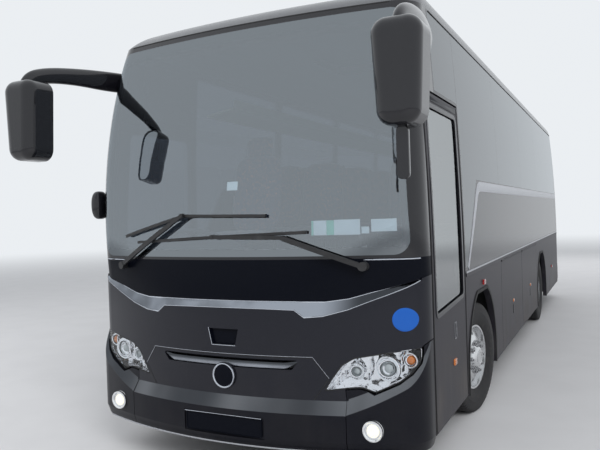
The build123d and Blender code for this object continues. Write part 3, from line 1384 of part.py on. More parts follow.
# Steering knuckles: lugs over and under the eye, kingpin, plate and spindle
LUG_THICK = 34.0
LUG_GAP = 0.3
SPINDLE_RADIUS = 34.0
PLATE_NEAR = 56.0
PLATE_THICK = 24.0
HUB_INNER = -62.0
SPINDLE_END = 96.0
for name, side in (("left", 1), ("right", -1)):
    wheel = wheel_plane(side, FRONT_AXLE, FRONT_WHEEL_X, STEER_REST)
    lever = FRONT_WHEEL_X - KINGPIN_X
    with BuildPart() as knuckle:
        pin = Vector(side * KINGPIN_X, FRONT_AXLE, 0)
        rod((pin.X, pin.Y, AXLE_Z - EYE_HALF - LUG_THICK), (pin.X, pin.Y, AXLE_Z + EYE_HALF + LUG_THICK),
            KINGPIN_RADIUS)
        for low in (AXLE_Z - EYE_HALF - LUG_GAP - LUG_THICK, AXLE_Z + EYE_HALF + LUG_GAP):
            with BuildSketch(Plane(origin=(pin.X, pin.Y, low), x_dir=wheel.x_dir, z_dir=(0, 0, 1))) as lug:
                Circle(EYE_RADIUS)
                with Locations(((PLATE_NEAR + PLATE_THICK) / 2, 0)):
                    Rectangle(PLATE_NEAR + PLATE_THICK, 2 * EYE_RADIUS)
            extrude(lug.sketch, amount=LUG_THICK)
        with BuildSketch(Plane(origin=wheel.origin, x_dir=wheel.x_dir, z_dir=(0, 0, 1))) as web:
            with Locations((PLATE_NEAR + PLATE_THICK / 2 - lever, 0)):
                Rectangle(PLATE_THICK, 2 * EYE_RADIUS)
        extrude(web.sketch, amount=EYE_HALF + LUG_THICK, both=True)
        spindle_root = wheel.origin + wheel.x_dir * (PLATE_NEAR + PLATE_THICK - lever)
        spindle_tip = wheel.origin + wheel.x_dir * SPINDLE_END
        rod(tuple(spindle_root), tuple(spindle_tip), SPINDLE_RADIUS)
    save("knuckle_" + name, knuckle.part)

# Rear axle: one turned profile (distance out, radius) with air springs under the rails
DRIVE_HALF = 150.0
DRIVE_RADIUS = 175.0
TUBE_RADIUS = 62.0
TUBE_HALF = 600.0
axle_side = [
    (REAR_WHEEL_X, SPINDLE_RADIUS), (TUBE_HALF, SPINDLE_RADIUS), (TUBE_HALF, TUBE_RADIUS),
    (DRIVE_HALF + 90.0, TUBE_RADIUS), (DRIVE_HALF - 40.0, DRIVE_RADIUS),
]
axle_profile = [(REAR_WHEEL_X, 0.0)] + axle_side + [(-x, radius) for x, radius in reversed(axle_side)]
with BuildPart() as rear_axle:
    with BuildSketch(Plane(origin=(0, REAR_AXLE, AXLE_Z), x_dir=(1, 0, 0), z_dir=(0, -1, 0))) as half_axle:
        with BuildLine():
            Polyline(*axle_profile, (-REAR_WHEEL_X, 0.0), close=True)
        make_face()
    revolve(half_axle.sketch, axis=Axis((0, REAR_AXLE, AXLE_Z), (1, 0, 0)))
    for side in (-1, 1):
        rod((side * RAIL_X, REAR_AXLE, AXLE_Z), (side * RAIL_X, REAR_AXLE, RAIL_LOW), 55.0)
save("rear_axle", rear_axle.part)

# Tyre outline from bead to bead: distance out from its middle, radius
BEAD = 100.0
SHOULDER = 116.0


def tyre_part(plane):
    """Revolves one tyre about its axle."""
    half = TYRE_WIDTH / 2
    with BuildPart() as tyre:
        with BuildSketch(plane) as section:
            with BuildLine():
                Line((-BEAD, RIM_RADIUS), (BEAD, RIM_RADIUS))
                ThreePointArc((BEAD, RIM_RADIUS), (half, 335.0), (SHOULDER + 7.0, 412.0))
                ThreePointArc((SHOULDER + 7.0, 412.0), (SHOULDER, 424.0), (SHOULDER - 12.0, 430.0))
                Line((SHOULDER - 12.0, 430.0), (70.0, TYRE_RADIUS))
                Line((70.0, TYRE_RADIUS), (-70.0, TYRE_RADIUS))
                Line((-70.0, TYRE_RADIUS), (12.0 - SHOULDER, 430.0))
                ThreePointArc((12.0 - SHOULDER, 430.0), (-SHOULDER, 424.0), (-SHOULDER - 7.0, 412.0))
                ThreePointArc((-SHOULDER - 7.0, 412.0), (-half, 335.0), (-BEAD, RIM_RADIUS))
            make_face()
        revolve(section.sketch, axis=Axis(plane.origin, plane.x_dir))
    return tyre.part


def rim_part(plane, outline, holes):
    """Revolves a rim from its outline and cuts the disc's hand holes."""
    count, circle, radius = holes
    with BuildPart() as rim:
        with BuildSketch(plane) as section:
            with BuildLine():
                Polyline(*outline, close=True)
            make_face()
        revolve(section.sketch, axis=Axis(plane.origin, plane.x_dir))
        with BuildSketch(Plane(origin=plane.origin, x_dir=(0, 0, 1), z_dir=plane.x_dir)) as windows:
            with PolarLocations(circle, count):
                Circle(radius)
        extrude(windows.sketch, amount=95.0, both=True, mode=Mode.SUBTRACT)
    return rim.part


RIM_SEAT = RIM_RADIUS - SEAT_GAP
RIM_INSIDE = RIM_SEAT - 12.0
BORE = SPINDLE_RADIUS + SEAT_GAP
FRONT_RIM = (
    (-BEAD - 6.0, RIM_SEAT), (BEAD + 6.0, RIM_SEAT), (BEAD + 6.0, RIM_SEAT - 14.0),
    (62.0, RIM_INSIDE - 6.0), (104.0, 150.0), (112.0, 138.0), (112.0, 92.0), (138.0, 78.0),
    (146.0, 62.0), (146.0, 0.0), (SPINDLE_END + 4.0, 0.0), (SPINDLE_END + 4.0, BORE),
    (HUB_INNER, BORE), (HUB_INNER, 96.0), (84.0, 110.0), (92.0, 138.0), (44.0, RIM_INSIDE - 6.0),
    (30.0, RIM_INSIDE), (-BEAD - 6.0, RIM_INSIDE),
)
for name, side in (("left", 1), ("right", -1)):
    wheel = wheel_plane(side, FRONT_AXLE, FRONT_WHEEL_X, STEER_REST)
    save("tyre_front_" + name, tyre_part(wheel))
    save("rim_front_" + name, rim_part(wheel, FRONT_RIM, (10, 190.0, 18.0)))

# Rear rims: two barrels bolted back to back on one hub
TWIN = TYRE_WIDTH + TWIN_GAP
REAR_RIM = (
    (-TWIN - BEAD - 6.0, RIM_SEAT), (BEAD + 6.0, RIM_SEAT), (BEAD + 6.0, RIM_INSIDE),
    (-70.0, RIM_INSIDE), (-112.0, 150.0), (-112.0, 118.0), (24.0, 104.0), (36.0, 92.0),
    (36.0, 0.0), (4.0, 0.0), (4.0, BORE), (-150.0, BORE), (-150.0, 96.0), (-130.0, 118.0),
    (-130.0, 150.0), (-100.0, RIM_INSIDE), (-TWIN - BEAD - 6.0, RIM_INSIDE),
)
for name, side in (("left", 1), ("right", -1)):
    outer_wheel = wheel_plane(side, REAR_AXLE, REAR_WHEEL_X)
    inner_wheel = wheel_plane(side, REAR_AXLE, REAR_WHEEL_X - TWIN)
    with BuildPart() as tyres:
        add(tyre_part(outer_wheel))
        add(tyre_part(inner_wheel))
    save("tyres_rear_" + name, tyres.part)
    save("rim_rear_" + name, rim_part(outer_wheel, REAR_RIM, (10, 190.0, 18.0)))

# Engine
with BuildPart() as engine_block:
    block((-330.0, 330.0), (ENGINE_FRONT, TAIL - 420.0), (RAIL_LOW - 90.0, FLOOR_UNDER - 40.0))
    fillet(engine_block.edges().filter_by(Axis.Y), 50.0)
    for side in (-1, 1):
        block((side * 300.0, side * (RAIL_X + RAIL_WIDTH / 2 - RAIL_WEB)),
              (REAR_AXLE + 1500.0, REAR_AXLE + 1600.0), (RAIL_LOW + RAIL_WEB, RAIL_LOW + RAIL_WEB + 60.0))
save("engine_block", engine_block.part)

# Dashboard outline in Y and Z
DASH_OUTLINE = (
    (NOSE + 60.0, FLOOR_TOP), (NOSE + 420.0, FLOOR_TOP), (NOSE + 440.0, 1180.0),
    (NOSE + 560.0, 1260.0), (NOSE + 560.0, 1300.0), (NOSE + 400.0, 1345.0), (NOSE + 60.0, 1340.0),
)
# Steering wheel on its inclined column
WHEEL_HUB = (-560.0, NOSE + 650.0, 1420.0)
COLUMN_TILT = 28.0
STEERING_RADIUS = 225.0
tilt = radians(COLUMN_TILT)
column_axis = Vector(0.0, sin(tilt), cos(tilt))
hub = Vector(*WHEEL_HUB)
steering_plane = Plane(origin=hub, x_dir=(1, 0, 0), z_dir=column_axis)
with BuildPart() as steering_wheel:
    with BuildSketch(Plane(origin=hub, x_dir=(1, 0, 0), z_dir=steering_plane.y_dir * -1)) as grip:
        with Locations((STEERING_RADIUS, 0)):
            Circle(15.0)
    revolve(grip.sketch, axis=Axis(hub, column_axis))
    with BuildSketch(steering_plane.offset(-22.0)) as centre_pad:
        Circle(62.0)
    extrude(centre_pad.sketch, amount=34.0)
    with BuildSketch(steering_plane.offset(-12.0)) as spokes:
        with PolarLocations(STEERING_RADIUS / 2 + 20.0, 3, start_angle=-90.0):
            Rectangle(STEERING_RADIUS - 60.0, 34.0)
    extrude(spokes.sketch, amount=14.0)
save("steering_wheel", steering_wheel.part)

with BuildPart() as dashboard:
    side_prism(DASH_OUTLINE, (-1080.0, WELL_INNER))
    add(upper_inside, mode=Mode.INTERSECT)
    block((-OUTSIDE, OUTSIDE), (NOSE, NOSE + 76.0), (FLOOR_TOP, MASK_TOP + 200.0), mode=Mode.SUBTRACT)
    rod(tuple(hub - column_axis * 22.3), tuple(hub - column_axis * 340.0), 34.0)
save("dashboard", dashboard.part)

# Driver's seat
DRIVER_X = WHEEL_HUB[0]
DRIVER_Y = NOSE + 1180.0
with BuildPart() as driver_seat:
    block((DRIVER_X - 170.0, DRIVER_X + 170.0), (DRIVER_Y - 180.0, DRIVER_Y + 180.0),
          (FLOOR_TOP, FLOOR_TOP + 330.0))
    block((DRIVER_X - 240.0, DRIVER_X + 240.0), (DRIVER_Y - 250.0, DRIVER_Y + 230.0),
          (FLOOR_TOP + 330.0, FLOOR_TOP + 450.0))
    side_prism(
        (
            (DRIVER_Y + 150.0, FLOOR_TOP + 420.0), (DRIVER_Y + 260.0, FLOOR_TOP + 420.0),
            (DRIVER_Y + 370.0, FLOOR_TOP + 1060.0), (DRIVER_Y + 290.0, FLOOR_TOP + 1080.0),
        ),
        (DRIVER_X - 230.0, DRIVER_X + 230.0),
    )
    side_prism(
        (
            (DRIVER_Y + 294.0, FLOOR_TOP + 1060.0), (DRIVER_Y + 370.0, FLOOR_TOP + 1050.0),
            (DRIVER_Y + 398.0, FLOOR_TOP + 1240.0), (DRIVER_Y + 326.0, FLOOR_TOP + 1250.0),
        ),
        (DRIVER_X - 130.0, DRIVER_X + 130.0),
    )
save("driver_seat", driver_seat.part)

# Passenger seats in pairs on both sides of the aisle
PAIR_INNER = 235.0
PAIR_OUTER = HALF_WIDTH - WALL - 30.0
with BuildPart() as passenger_seats:
    for row in range(SEAT_ROWS):
        place = FIRST_SEAT + row * SEAT_PITCH
        for side in (-1, 1):
            side_prism(
                (
                    (place + 80.0, FLOOR_TOP), (place + 340.0, FLOOR_TOP),
                    (place + 340.0, FLOOR_TOP + 320.0),
                    (place + 430.0, FLOOR_TOP + 320.0), (place + 480.0, FLOOR_TOP + 440.0),
                    (place + 600.0, FLOOR_TOP + 1060.0), (place + 545.0, FLOOR_TOP + 1075.0),
                    (place + 490.0, FLOOR_TOP + 1010.0), (place + 390.0, FLOOR_TOP + 450.0),
                    (place, FLOOR_TOP + 450.0), (place - 10.0, FLOOR_TOP + 330.0),
                    (place + 80.0, FLOOR_TOP + 320.0),
                ),
                sorted((side * PAIR_INNER, side * PAIR_OUTER)),
            )
save("passenger_seats", passenger_seats.part)

# Luggage racks over the windows
RACK_FRONT = WINDOW_START + 200.0
RACK_REAR = WINDOW_END - 250.0
with BuildPart() as luggage_racks:
    for side in (-1, 1):
        front_prism(
            [(side * x, z) for x, z in ((1190.0, 2500.0), (820.0, 2560.0), (800.0, 2640.0), (815.0, 2640.0),
                                        (835.0, 2578.0), (1190.0, 2524.0))],
            (RACK_FRONT, RACK_REAR),
        )
    add(upper_inside, mode=Mode.INTERSECT)
save("luggage_racks", luggage_racks.part)

# Marker lamps: along the skirts, on the roof corners and over the rear window
MARKER_X = HALF_WIDTH + 14.0
MARKER_LONG = 66.0
MARKER_HIGH = 40.0
SIDE_MARKS = ((FRONT_AXLE + 70.0, 1022.0), (REAR_AXLE + 1500.0, 640.0))
with BuildPart() as marker_lamps:
    for side in (-1, 1):
        for place, height in SIDE_MARKS:
            block((side * HALF_WIDTH, side * MARKER_X), (place - MARKER_LONG / 2, place + MARKER_LONG / 2),
                  (height - MARKER_HIGH / 2, height + MARKER_HIGH / 2))
save("marker_lamps", marker_lamps.part)
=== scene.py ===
"""Looks of a midi coach: its finishes, lamps, wheels, glazing trim, seats and the studio round it.

Sizes are in metres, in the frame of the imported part: +Z up, the front faces -Y and the passenger
door is on +X. New pieces are grids of points worked out as whole arrays.
"""

from __future__ import annotations

import logging
import math
from collections.abc import Callable
from dataclasses import dataclass
from enum import Enum

import bmesh
import bpy
import numpy as np
from mathutils import Matrix, Vector

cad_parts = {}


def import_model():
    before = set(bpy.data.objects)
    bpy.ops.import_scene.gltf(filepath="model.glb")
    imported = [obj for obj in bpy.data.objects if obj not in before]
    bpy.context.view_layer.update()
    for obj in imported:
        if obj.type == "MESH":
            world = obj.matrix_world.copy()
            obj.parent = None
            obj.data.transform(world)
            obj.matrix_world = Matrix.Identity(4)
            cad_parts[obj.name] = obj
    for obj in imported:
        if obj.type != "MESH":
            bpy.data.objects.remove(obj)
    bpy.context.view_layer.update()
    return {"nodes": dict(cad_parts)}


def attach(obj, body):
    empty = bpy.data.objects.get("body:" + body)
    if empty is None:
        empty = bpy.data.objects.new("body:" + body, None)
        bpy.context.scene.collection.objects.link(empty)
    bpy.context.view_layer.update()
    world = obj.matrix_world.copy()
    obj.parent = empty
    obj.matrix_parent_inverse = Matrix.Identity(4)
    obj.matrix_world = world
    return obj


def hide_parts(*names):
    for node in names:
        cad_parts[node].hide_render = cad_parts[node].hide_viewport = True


Colour = tuple[float, float, float]
Pair = tuple[float, float]
Row = tuple[float, ...]
Rows = tuple[Row, ...]
Shell = tuple[np.ndarray, np.ndarray]
Place = Callable[[np.ndarray, np.ndarray, float], np.ndarray]
Material = bpy.types.Material
Node = bpy.types.Node
Socket = bpy.types.NodeSocket

LOG = logging.getLogger("coach")
NOSE = -4.475
TAIL = 4.845
FRONT_AXLE = -2.545
REAR_AXLE = 1.975
AXLE_HEIGHT = 0.433
LEFT = 1.0
RIGHT = -1.0
SIDES = (("left", LEFT), ("right", RIGHT))
LEFTWARD = (1.0, 0.0, 0.0)
REARWARD = (0.0, 1.0, 0.0)
FORWARD = (0.0, -1.0, 0.0)
UPWARD = (0.0, 0.0, 1.0)
FULL_TURN = 2.0 * math.pi


class Axis(Enum):
    """The frame's three directions."""

    X = 0
    Y = 1
    Z = 2


# Shader maths


class Value:
    """A socket that carries one number, with Python's operators."""

    def __init__(self, shader: Shader, socket: Socket) -> None:
        """Keeps the shader that the socket belongs to.

        Args:
            shader: The shader whose nodes are added to.
            socket: The output socket that carries the number.
        """
        self.shader = shader
        self.socket = socket

    def _math(self, operation: str, first: Value | float, second: Value | float) -> Value:
        """Adds one Math node of two inputs."""
        node = self.shader.node("ShaderNodeMath", {"operation": operation}, {0: first, 1: second})
        return Value(self.shader, node.outputs[0])

    def __add__(self, other: Value | float) -> Value:
        """Adds a number or a value."""
        return self._math("ADD", self, other)

    __radd__ = __add__

    def __mul__(self, other: Value | float) -> Value:
        """Multiplies by a number or a value."""
        return self._math("MULTIPLY", self, other)

    __rmul__ = __mul__

    def __sub__(self, other: Value | float) -> Value:
        """Takes a number or a value away."""
        return self._math("SUBTRACT", self, other)

    def __rsub__(self, other: Value | float) -> Value:
        """Takes this value away from a number."""
        return self._math("SUBTRACT", other, self)

    def __pow__(self, other: Value | float) -> Value:
        """Raises to a power."""
        return self._math("POWER", self, other)

    def least(self, other: Value | float) -> Value:
        """Gives the smaller of two values."""
        return self._math("MINIMUM", self, other)

    def most(self, other: Value | float) -> Value:
        """Gives the larger of two values."""
        return self._math("MAXIMUM", self, other)

    def size(self) -> Value:
        """Gives the value without its sign."""
        return self._math("ABSOLUTE", self, 0.0)

    def ramp(self, low: float, high: float, smooth: bool = True) -> Value:
        """Turns the span from low to high into 0 to 1.

        Args:
            low: The value that becomes 0.
            high: The value that becomes 1.
            smooth: Whether the ends are eased.

        Returns:
            The value from 0 to 1.
        """
        kind = "SMOOTHSTEP" if smooth else "LINEAR"
        node = self.shader.node(
            "ShaderNodeMapRange", {"interpolation_type": kind}, {0: self, 1: low, 2: high}
        )
        return Value(self.shader, node.outputs[0])


class Shader:
    """A material's or a world's node tree under construction."""

    def __init__(self, name: str, world: bool = False) -> None:
        """Starts an empty node tree.

        Args:
            name: The material's or the world's name.
            world: Whether it is a world.
        """
        self.owner = (bpy.data.worlds if world else bpy.data.materials).new(name)
        self.owner.use_nodes = True
        self.tree = self.owner.node_tree
        self.tree.nodes.clear()

    def node(self, kind: str, settings: dict, inputs: dict) -> Node:
        """Adds a node, sets its options first and then its sockets.

        Args:
            kind: The node's type.
            settings: The node's own properties.
            inputs: Numbers, colours or links by socket name or place.

        Returns:
            The new node.
        """
        node = self.tree.nodes.new(kind)
        for key, setting in settings.items():
            setattr(node, key, setting)
        for key, source in inputs.items():
            socket = node.inputs[key]
            if isinstance(source, Value):
                self.tree.links.new(source.socket, socket)
            elif isinstance(source, Socket):
                self.tree.links.new(source, socket)
            elif isinstance(source, tuple) and socket.type == "RGBA":
                socket.default_value = (*source, 1.0)
            else:
                socket.default_value = source
        return node

    def place(self) -> Socket:
        """Gives the point on the piece in the frame's metres."""
        return self.node("ShaderNodeTexCoord", {}, {}).outputs["Object"]

    def along(self, axis: Axis) -> Value:
        """Gives one coordinate of the point on the piece."""
        split = self.node("ShaderNodeSeparateXYZ", {}, {0: self.place()})
        return Value(self, split.outputs[axis.value])

    def noise(self, scale: float, detail: float = 3.0, stretch: Row = (1.0, 1.0, 1.0)) -> Value:
        """Gives a noise from 0 to 1.

        Args:
            scale: Bumps per metre.
            detail: The number of finer layers.
            stretch: The scale's factor along each axis.

        Returns:
            The noise value.
        """
        mapped = self.node("ShaderNodeMapping", {}, {"Vector": self.place(), "Scale": stretch})
        sockets = {"Vector": mapped.outputs[0], "Scale": scale, "Detail": detail}
        return Value(self, self.node("ShaderNodeTexNoise", {}, sockets).outputs[0])

    def cells(self, scale: float) -> Node:
        """Adds a pattern of cells, with scale of them to a metre."""
        return self.node("ShaderNodeTexVoronoi", {}, {"Vector": self.place(), "Scale": scale})

    def speckle(self, scale: float) -> Value:
        """Gives a random number for each small cell."""
        split = self.node("ShaderNodeSeparateXYZ", {}, {0: self.cells(scale).outputs["Color"]})
        return Value(self, split.outputs[0])

    def wave(self, scale: float, way: str, distortion: float = 0.0) -> Value:
        """Gives bands from 0 to 1.

        Args:
            scale: Bands per metre.
            way: The axis that they follow each other along.
            distortion: How far they waver.

        Returns:
            The bands' value.
        """
        sockets = {"Vector": self.place(), "Scale": scale, "Distortion": distortion}
        source = self.node("ShaderNodeTexWave", {"bands_direction": way}, sockets)
        return Value(self, source.outputs["Fac"])

    def blend(
        self, share: Value | float, first: Colour | Socket, second: Colour | Socket
    ) -> Socket:
        """Mixes two colours.

        Args:
            share: 0 gives the first colour, 1 the second.
            first: A colour or a colour socket.
            second: A colour or a colour socket.

        Returns:
            The mixed colour's socket.
        """
        sockets = {0: share, 6: first, 7: second}
        return self.node("ShaderNodeMix", {"data_type": "RGBA"}, sockets).outputs[2]

    def mix(self, share: Value, first: Node, second: Node) -> Node:
        """Mixes two surfaces, where a share of 0 gives the first."""
        sockets = {0: share, 1: first.outputs[0], 2: second.outputs[0]}
        return self.node("ShaderNodeMixShader", {}, sockets)

    def bump(self, height: Value, strength: float, depth: float) -> Socket:
        """Turns a height into a normal.

        Args:
            height: The height from 0 to 1.
            strength: The bump's strength.
            depth: The height's real depth.

        Returns:
            The normal's socket.
        """
        sockets = {"Strength": strength, "Distance": depth, "Height": height}
        return self.node("ShaderNodeBump", {}, sockets).outputs[0]

    def plain(self, **sockets: object) -> Node:
        """Adds a Principled node, with sockets named with underscores for spaces."""
        named = {key.replace("_", " "): source for key, source in sockets.items()}
        return self.node("ShaderNodeBsdfPrincipled", {}, named)

    def finish(self, surface: Node) -> Material | bpy.types.World:
        """Joins the surface to the output and gives the material or the world.

        Args:
            surface: The whole surface's node.

        Returns:
            The material or the world.
        """
        kind = "World" if isinstance(self.owner, bpy.types.World) else "Material"
        self.node(f"ShaderNodeOutput{kind}", {}, {"Surface": surface.outputs[0]})
        return self.owner


# Finishes

ROAD_DUST = (0.16, 0.145, 0.13)
# Painted reflection: two greys of the sky, as the bumper's sloping ledges reflect it.
LEDGE_REFLECTION_GREYS = ((0.035, 0.039, 0.046), (0.125, 0.133, 0.145))
TOP_BAND = (0.1, 0.11, 0.12)
BLACK = (0.0, 0.0, 0.0)
TREAD_DUST = (0.06, 0.056, 0.052)


@dataclass(frozen=True)
class Finish:
    """What a piece's surface is made of.

    Attributes:
        name: The material's name.
    """

    name: str

    def material(self) -> Material:
        """Makes the material, each kind of finish in its own way."""
        raise NotImplementedError


@dataclass(frozen=True)
class Paint(Finish):
    """Body paint under a clear coat, dusty towards the road.

    Attributes:
        base: The colour.
        metallic: The share of metal flake.
        roughness: The base's roughness.
        dust: How much road dust the lower body takes.
        coat: The clear coat's weight.
        level: The base's specular level.
        ledges: Whether the bumper's ledges are painted lighter greys, a painted reflection of the
            sky.
    """

    base: Colour
    metallic: float = 0.45
    roughness: float = 0.38
    dust: float = 0.35
    coat: float = 0.55
    level: float = 0.3
    ledges: bool = False

    def ledge(self, shader: Shader) -> Value:
        """Finds the bumper's sloping ledges, which are painted a lighter grey, a painted reflection
        of the sky.

        The middle ledge lies between two heights inside the corner joints. Outside them the ledge
        is the plane Z = foot - fall |X| + rise (Y - NOSE).

        Args:
            shader: The shader whose nodes are added to.

        Returns:
            1 on a ledge, 0 off it.
        """
        foot, fall, rise = 0.4352, 0.0787, 1.507
        inside, outside = 0.77, 0.772
        x, y, z = (shader.along(axis) for axis in Axis)
        across = x.size()
        middle = z.ramp(0.4555, 0.457) * z.ramp(0.5325, 0.531) * across.ramp(outside, inside)
        off = (z - (foot - NOSE * rise) + across * fall - y * rise).size()
        return middle.most(off.ramp(0.004, 0.002) * across.ramp(inside, outside))

    def material(self) -> Material:
        """Makes the material.

        Returns:
            A new material.
        """
        shader = Shader(self.name)
        flake = shader.speckle(900.0)
        lighter = tuple(min(1.0, c * 1.6 + 0.004) for c in self.base)
        colour = shader.blend(flake.ramp(0.35, 1.0), self.base, lighter)
        low = shader.along(Axis.Z).ramp(0.95, 0.25)
        film = (shader.noise(3.0, 6.0).ramp(0.35, 0.75) * low * self.dust).least(1.0)
        streak = shader.noise(14.0, 4.0, (1.0, 1.0, 0.12)).ramp(0.45, 0.8) * low * self.dust
        # Painted reflection: the bumper's ledges take streaky lighter greys in place of the sky
        # they reflect.
        if self.ledges:
            sheen = shader.noise(1.7, 2.0, (1.0, 0.2, 0.2)).ramp(0.38, 0.62)
            colour = shader.blend(self.ledge(shader), colour, shader.blend(sheen, *LEDGE_REFLECTION_GREYS))
        dusty = shader.blend(film + streak * 0.5, colour, ROAD_DUST)
        peel = shader.noise(260.0, 1.0)
        surface = shader.plain(
            Base_Color=dusty,
            Metallic=self.metallic * (1.0 - film),
            Roughness=self.roughness + film * 0.35,
            Specular_IOR_Level=self.level,
            Coat_Weight=self.coat * (1.0 - film * 0.8),
            Coat_Roughness=0.03,
            Normal=shader.bump(peel, 0.06, 0.0004),
        )
        return shader.finish(surface)


@dataclass(frozen=True)
class Plastic(Finish):
    """Moulded plastic or rubber with a fine grain.

    Attributes:
        base: The colour.
        roughness: The mean roughness.
        grain: Bumps per metre.
        depth: The grain's strength.
        worn: The colour of scuffed places.
    """

    base: Colour
    roughness: float = 0.5
    grain: float = 900.0
    depth: float = 0.25
    worn: Colour = (0.06, 0.06, 0.062)

    def material(self) -> Material:
        """Makes the material.

        Returns:
            A new material.
        """
        shader = Shader(self.name)
        cloudy = shader.noise(9.0, 5.0)
        surface = shader.plain(
            Base_Color=shader.blend(cloudy.ramp(0.45, 0.85) * 0.5, self.base, self.worn),
            Roughness=self.roughness + cloudy.ramp(0.3, 0.8) * 0.14,
            Normal=shader.bump(shader.noise(self.grain, 2.0), self.depth, 0.0006),
        )
        return shader.finish(surface)


@dataclass(frozen=True)
class Metal(Finish):
    """Bare, plated or silver painted metal.

    Attributes:
        base: The colour.
        roughness: The mean roughness.
        grime: How dark its dirty places are.
        metallic: The share of metal.
        cloud: Dirty places per metre.
        facets: Pressed facets per metre, or 0 for a smooth surface.
        fade: An axis and the two places between which it is painted dark, a painted shade laid by
            place, or None.
    """

    base: Colour
    roughness: float = 0.12
    grime: float = 0.1
    metallic: float = 1.0
    cloud: float = 24.0
    facets: float = 0.0
    fade: tuple[Axis, float, float] | None = None

    def material(self) -> Material:
        """Makes the material.

        Returns:
            A new material.
        """
        shader = Shader(self.name)
        smear = shader.noise(self.cloud, 3.0)
        dark = tuple(c * 0.35 for c in self.base)
        relief = shader.bump(shader.noise(500.0, 2.0), 0.04, 0.0004)
        if self.facets:
            pressed = shader.cells(self.facets).outputs["Distance"]
            relief = shader.bump(Value(shader, pressed), 0.35, 0.005)
        colour = shader.blend(smear.ramp(0.4, 0.65) * self.grime, self.base, dark)
        # Painted shade: past the fade's span the colour turns to a sixth of the base.
        if self.fade:
            axis, first, last = self.fade
            shade = shader.along(axis).ramp(first, last)
            colour = shader.blend(shade, colour, tuple(c * 0.16 for c in self.base))
        surface = shader.plain(
            Base_Color=colour,
            Metallic=self.metallic,
            Roughness=self.roughness + smear.ramp(0.3, 0.9) * 0.06,
            Normal=relief,
        )
        return shader.finish(surface)


@dataclass(frozen=True)
class Rail(Finish):
    """A moulding, bright metal along its top as a painted highlight, and the flank's dark paint
    below.

    Attributes:
        bright: The colour of its top band, a painted highlight.
        painted: The colour below the edge, the flank's paint.
        edge: The height where the paint ends.
    """

    bright: Colour
    painted: Colour
    edge: float

    def material(self) -> Material:
        """Makes the material.

        Returns:
            A new material.
        """
        shader = Shader(self.name)
        # Painted highlight: above the edge the rail is bright metal and below it the flank's paint,
        # so only its top shows as a lit line.
        upper = shader.along(Axis.Z).ramp(self.edge - 0.001, self.edge + 0.001)
        surface = shader.plain(
            Base_Color=shader.blend(upper, self.painted, self.bright),
            Metallic=upper * 0.9,
            Roughness=0.5 - upper * 0.22 + shader.noise(6.0, 3.0) * 0.05,
        )
        return shader.finish(surface)


@dataclass(frozen=True)
class Pane(Finish):
    """Glass that shows what is behind it, with a darker band at its top where it has one.

    Attributes:
        tint: What one face lets through.
        mirror: The blend of the Fresnel curve, larger for more reflection.
        band: Heights where a dark band starts and is full, or None.
        foot: Heights where the printed black foot is full and ends, or None.
        sheen: The colour of what it reflects.
    """

    tint: Colour
    mirror: float = 0.5
    band: Pair | None = None
    foot: Pair | None = None
    sheen: Colour = (1.0, 1.0, 1.0)

    def material(self) -> Material:
        """Makes the material.

        Returns:
            A new material.
        """
        shader = Shader(self.name)
        tint = self.tint
        if self.band:
            shade = shader.along(Axis.Z).ramp(*self.band)
            tint = shader.blend(shade, self.tint, TOP_BAND)
        if self.foot:
            tint = shader.blend(shader.along(Axis.Z).ramp(*self.foot), BLACK, tint)
        clear = shader.node("ShaderNodeBsdfTransparent", {}, {"Color": tint})
        gloss = shader.node("ShaderNodeBsdfGlossy", {}, {"Color": self.sheen, "Roughness": 0.02})
        curve = shader.node("ShaderNodeLayerWeight", {}, {"Blend": self.mirror})
        back = shader.node("ShaderNodeNewGeometry", {}, {})
        outer = 1.0 - Value(shader, back.outputs["Backfacing"])
        share = Value(shader, curve.outputs["Fresnel"]) * outer
        return shader.finish(shader.mix(share, clear, gloss))


@dataclass(frozen=True)
class Lens(Finish):
    """A coloured lamp lens with moulded ribs.

    Attributes:
        base: The colour.
        ribs: Ribs per metre.
        glow: The light it gives off.
    """

    base: Colour
    ribs: float = 260.0
    glow: float = 0.0

    def material(self) -> Material:
        """Makes the material.

        Returns:
            A new material.
        """
        shader = Shader(self.name)
        rib = shader.wave(self.ribs, "Z")
        deep = tuple(c * 0.45 for c in self.base)
        colour = shader.blend(rib, deep, self.base)
        surface = shader.plain(
            Base_Color=colour,
            Roughness=0.12,
            Coat_Weight=1.0,
            Coat_Roughness=0.02,
            Emission_Color=colour,
            Emission_Strength=self.glow,
            Normal=shader.bump(rib, 0.35, 0.001),
        )
        return shader.finish(surface)


@dataclass(frozen=True)
class Cloth(Finish):
    """Woven seat cloth with a flecked pattern.

    Attributes:
        base: The ground colour.
        fleck: The colour of the woven flecks.
        weave: Threads per metre.
    """

    base: Colour
    fleck: Colour
    weave: float = 420.0

    def material(self) -> Material:
        """Makes the material.

        Returns:
            A new material.
        """
        shader = Shader(self.name)
        speck = shader.speckle(160.0).ramp(0.82, 0.9)
        wide = shader.noise(22.0, 3.0).ramp(0.35, 0.7)
        warp, weft = (shader.wave(self.weave, way, 0.4) for way in ("X", "Z"))
        softer = tuple(c * 1.35 for c in self.base)
        ground = shader.blend(wide, self.base, softer)
        surface = shader.plain(
            Base_Color=shader.blend(speck, ground, self.fleck),
            Roughness=0.92,
            Sheen_Weight=0.35,
            Sheen_Roughness=0.5,
            Normal=shader.bump(warp * weft, 0.5, 0.0008),
        )
        return shader.finish(surface)


@dataclass(frozen=True)
class TyreRubber(Finish):
    """Tyre rubber, greyed with dust in patches.

    Attributes:
        base: The colour.
    """

    base: Colour = (0.014, 0.014, 0.0155)

    def material(self) -> Material:
        """Makes the material.

        Returns:
            A new material.
        """
        shader = Shader(self.name)
        cloud = shader.noise(30.0, 6.0)
        surface = shader.plain(
            Base_Color=shader.blend(cloud.ramp(0.42, 0.8) * 0.5, self.base, TREAD_DUST),
            Roughness=0.62 + cloud * 0.3,
            Normal=shader.bump(shader.noise(380.0, 4.0), 0.3, 0.001),
        )
        return shader.finish(surface)


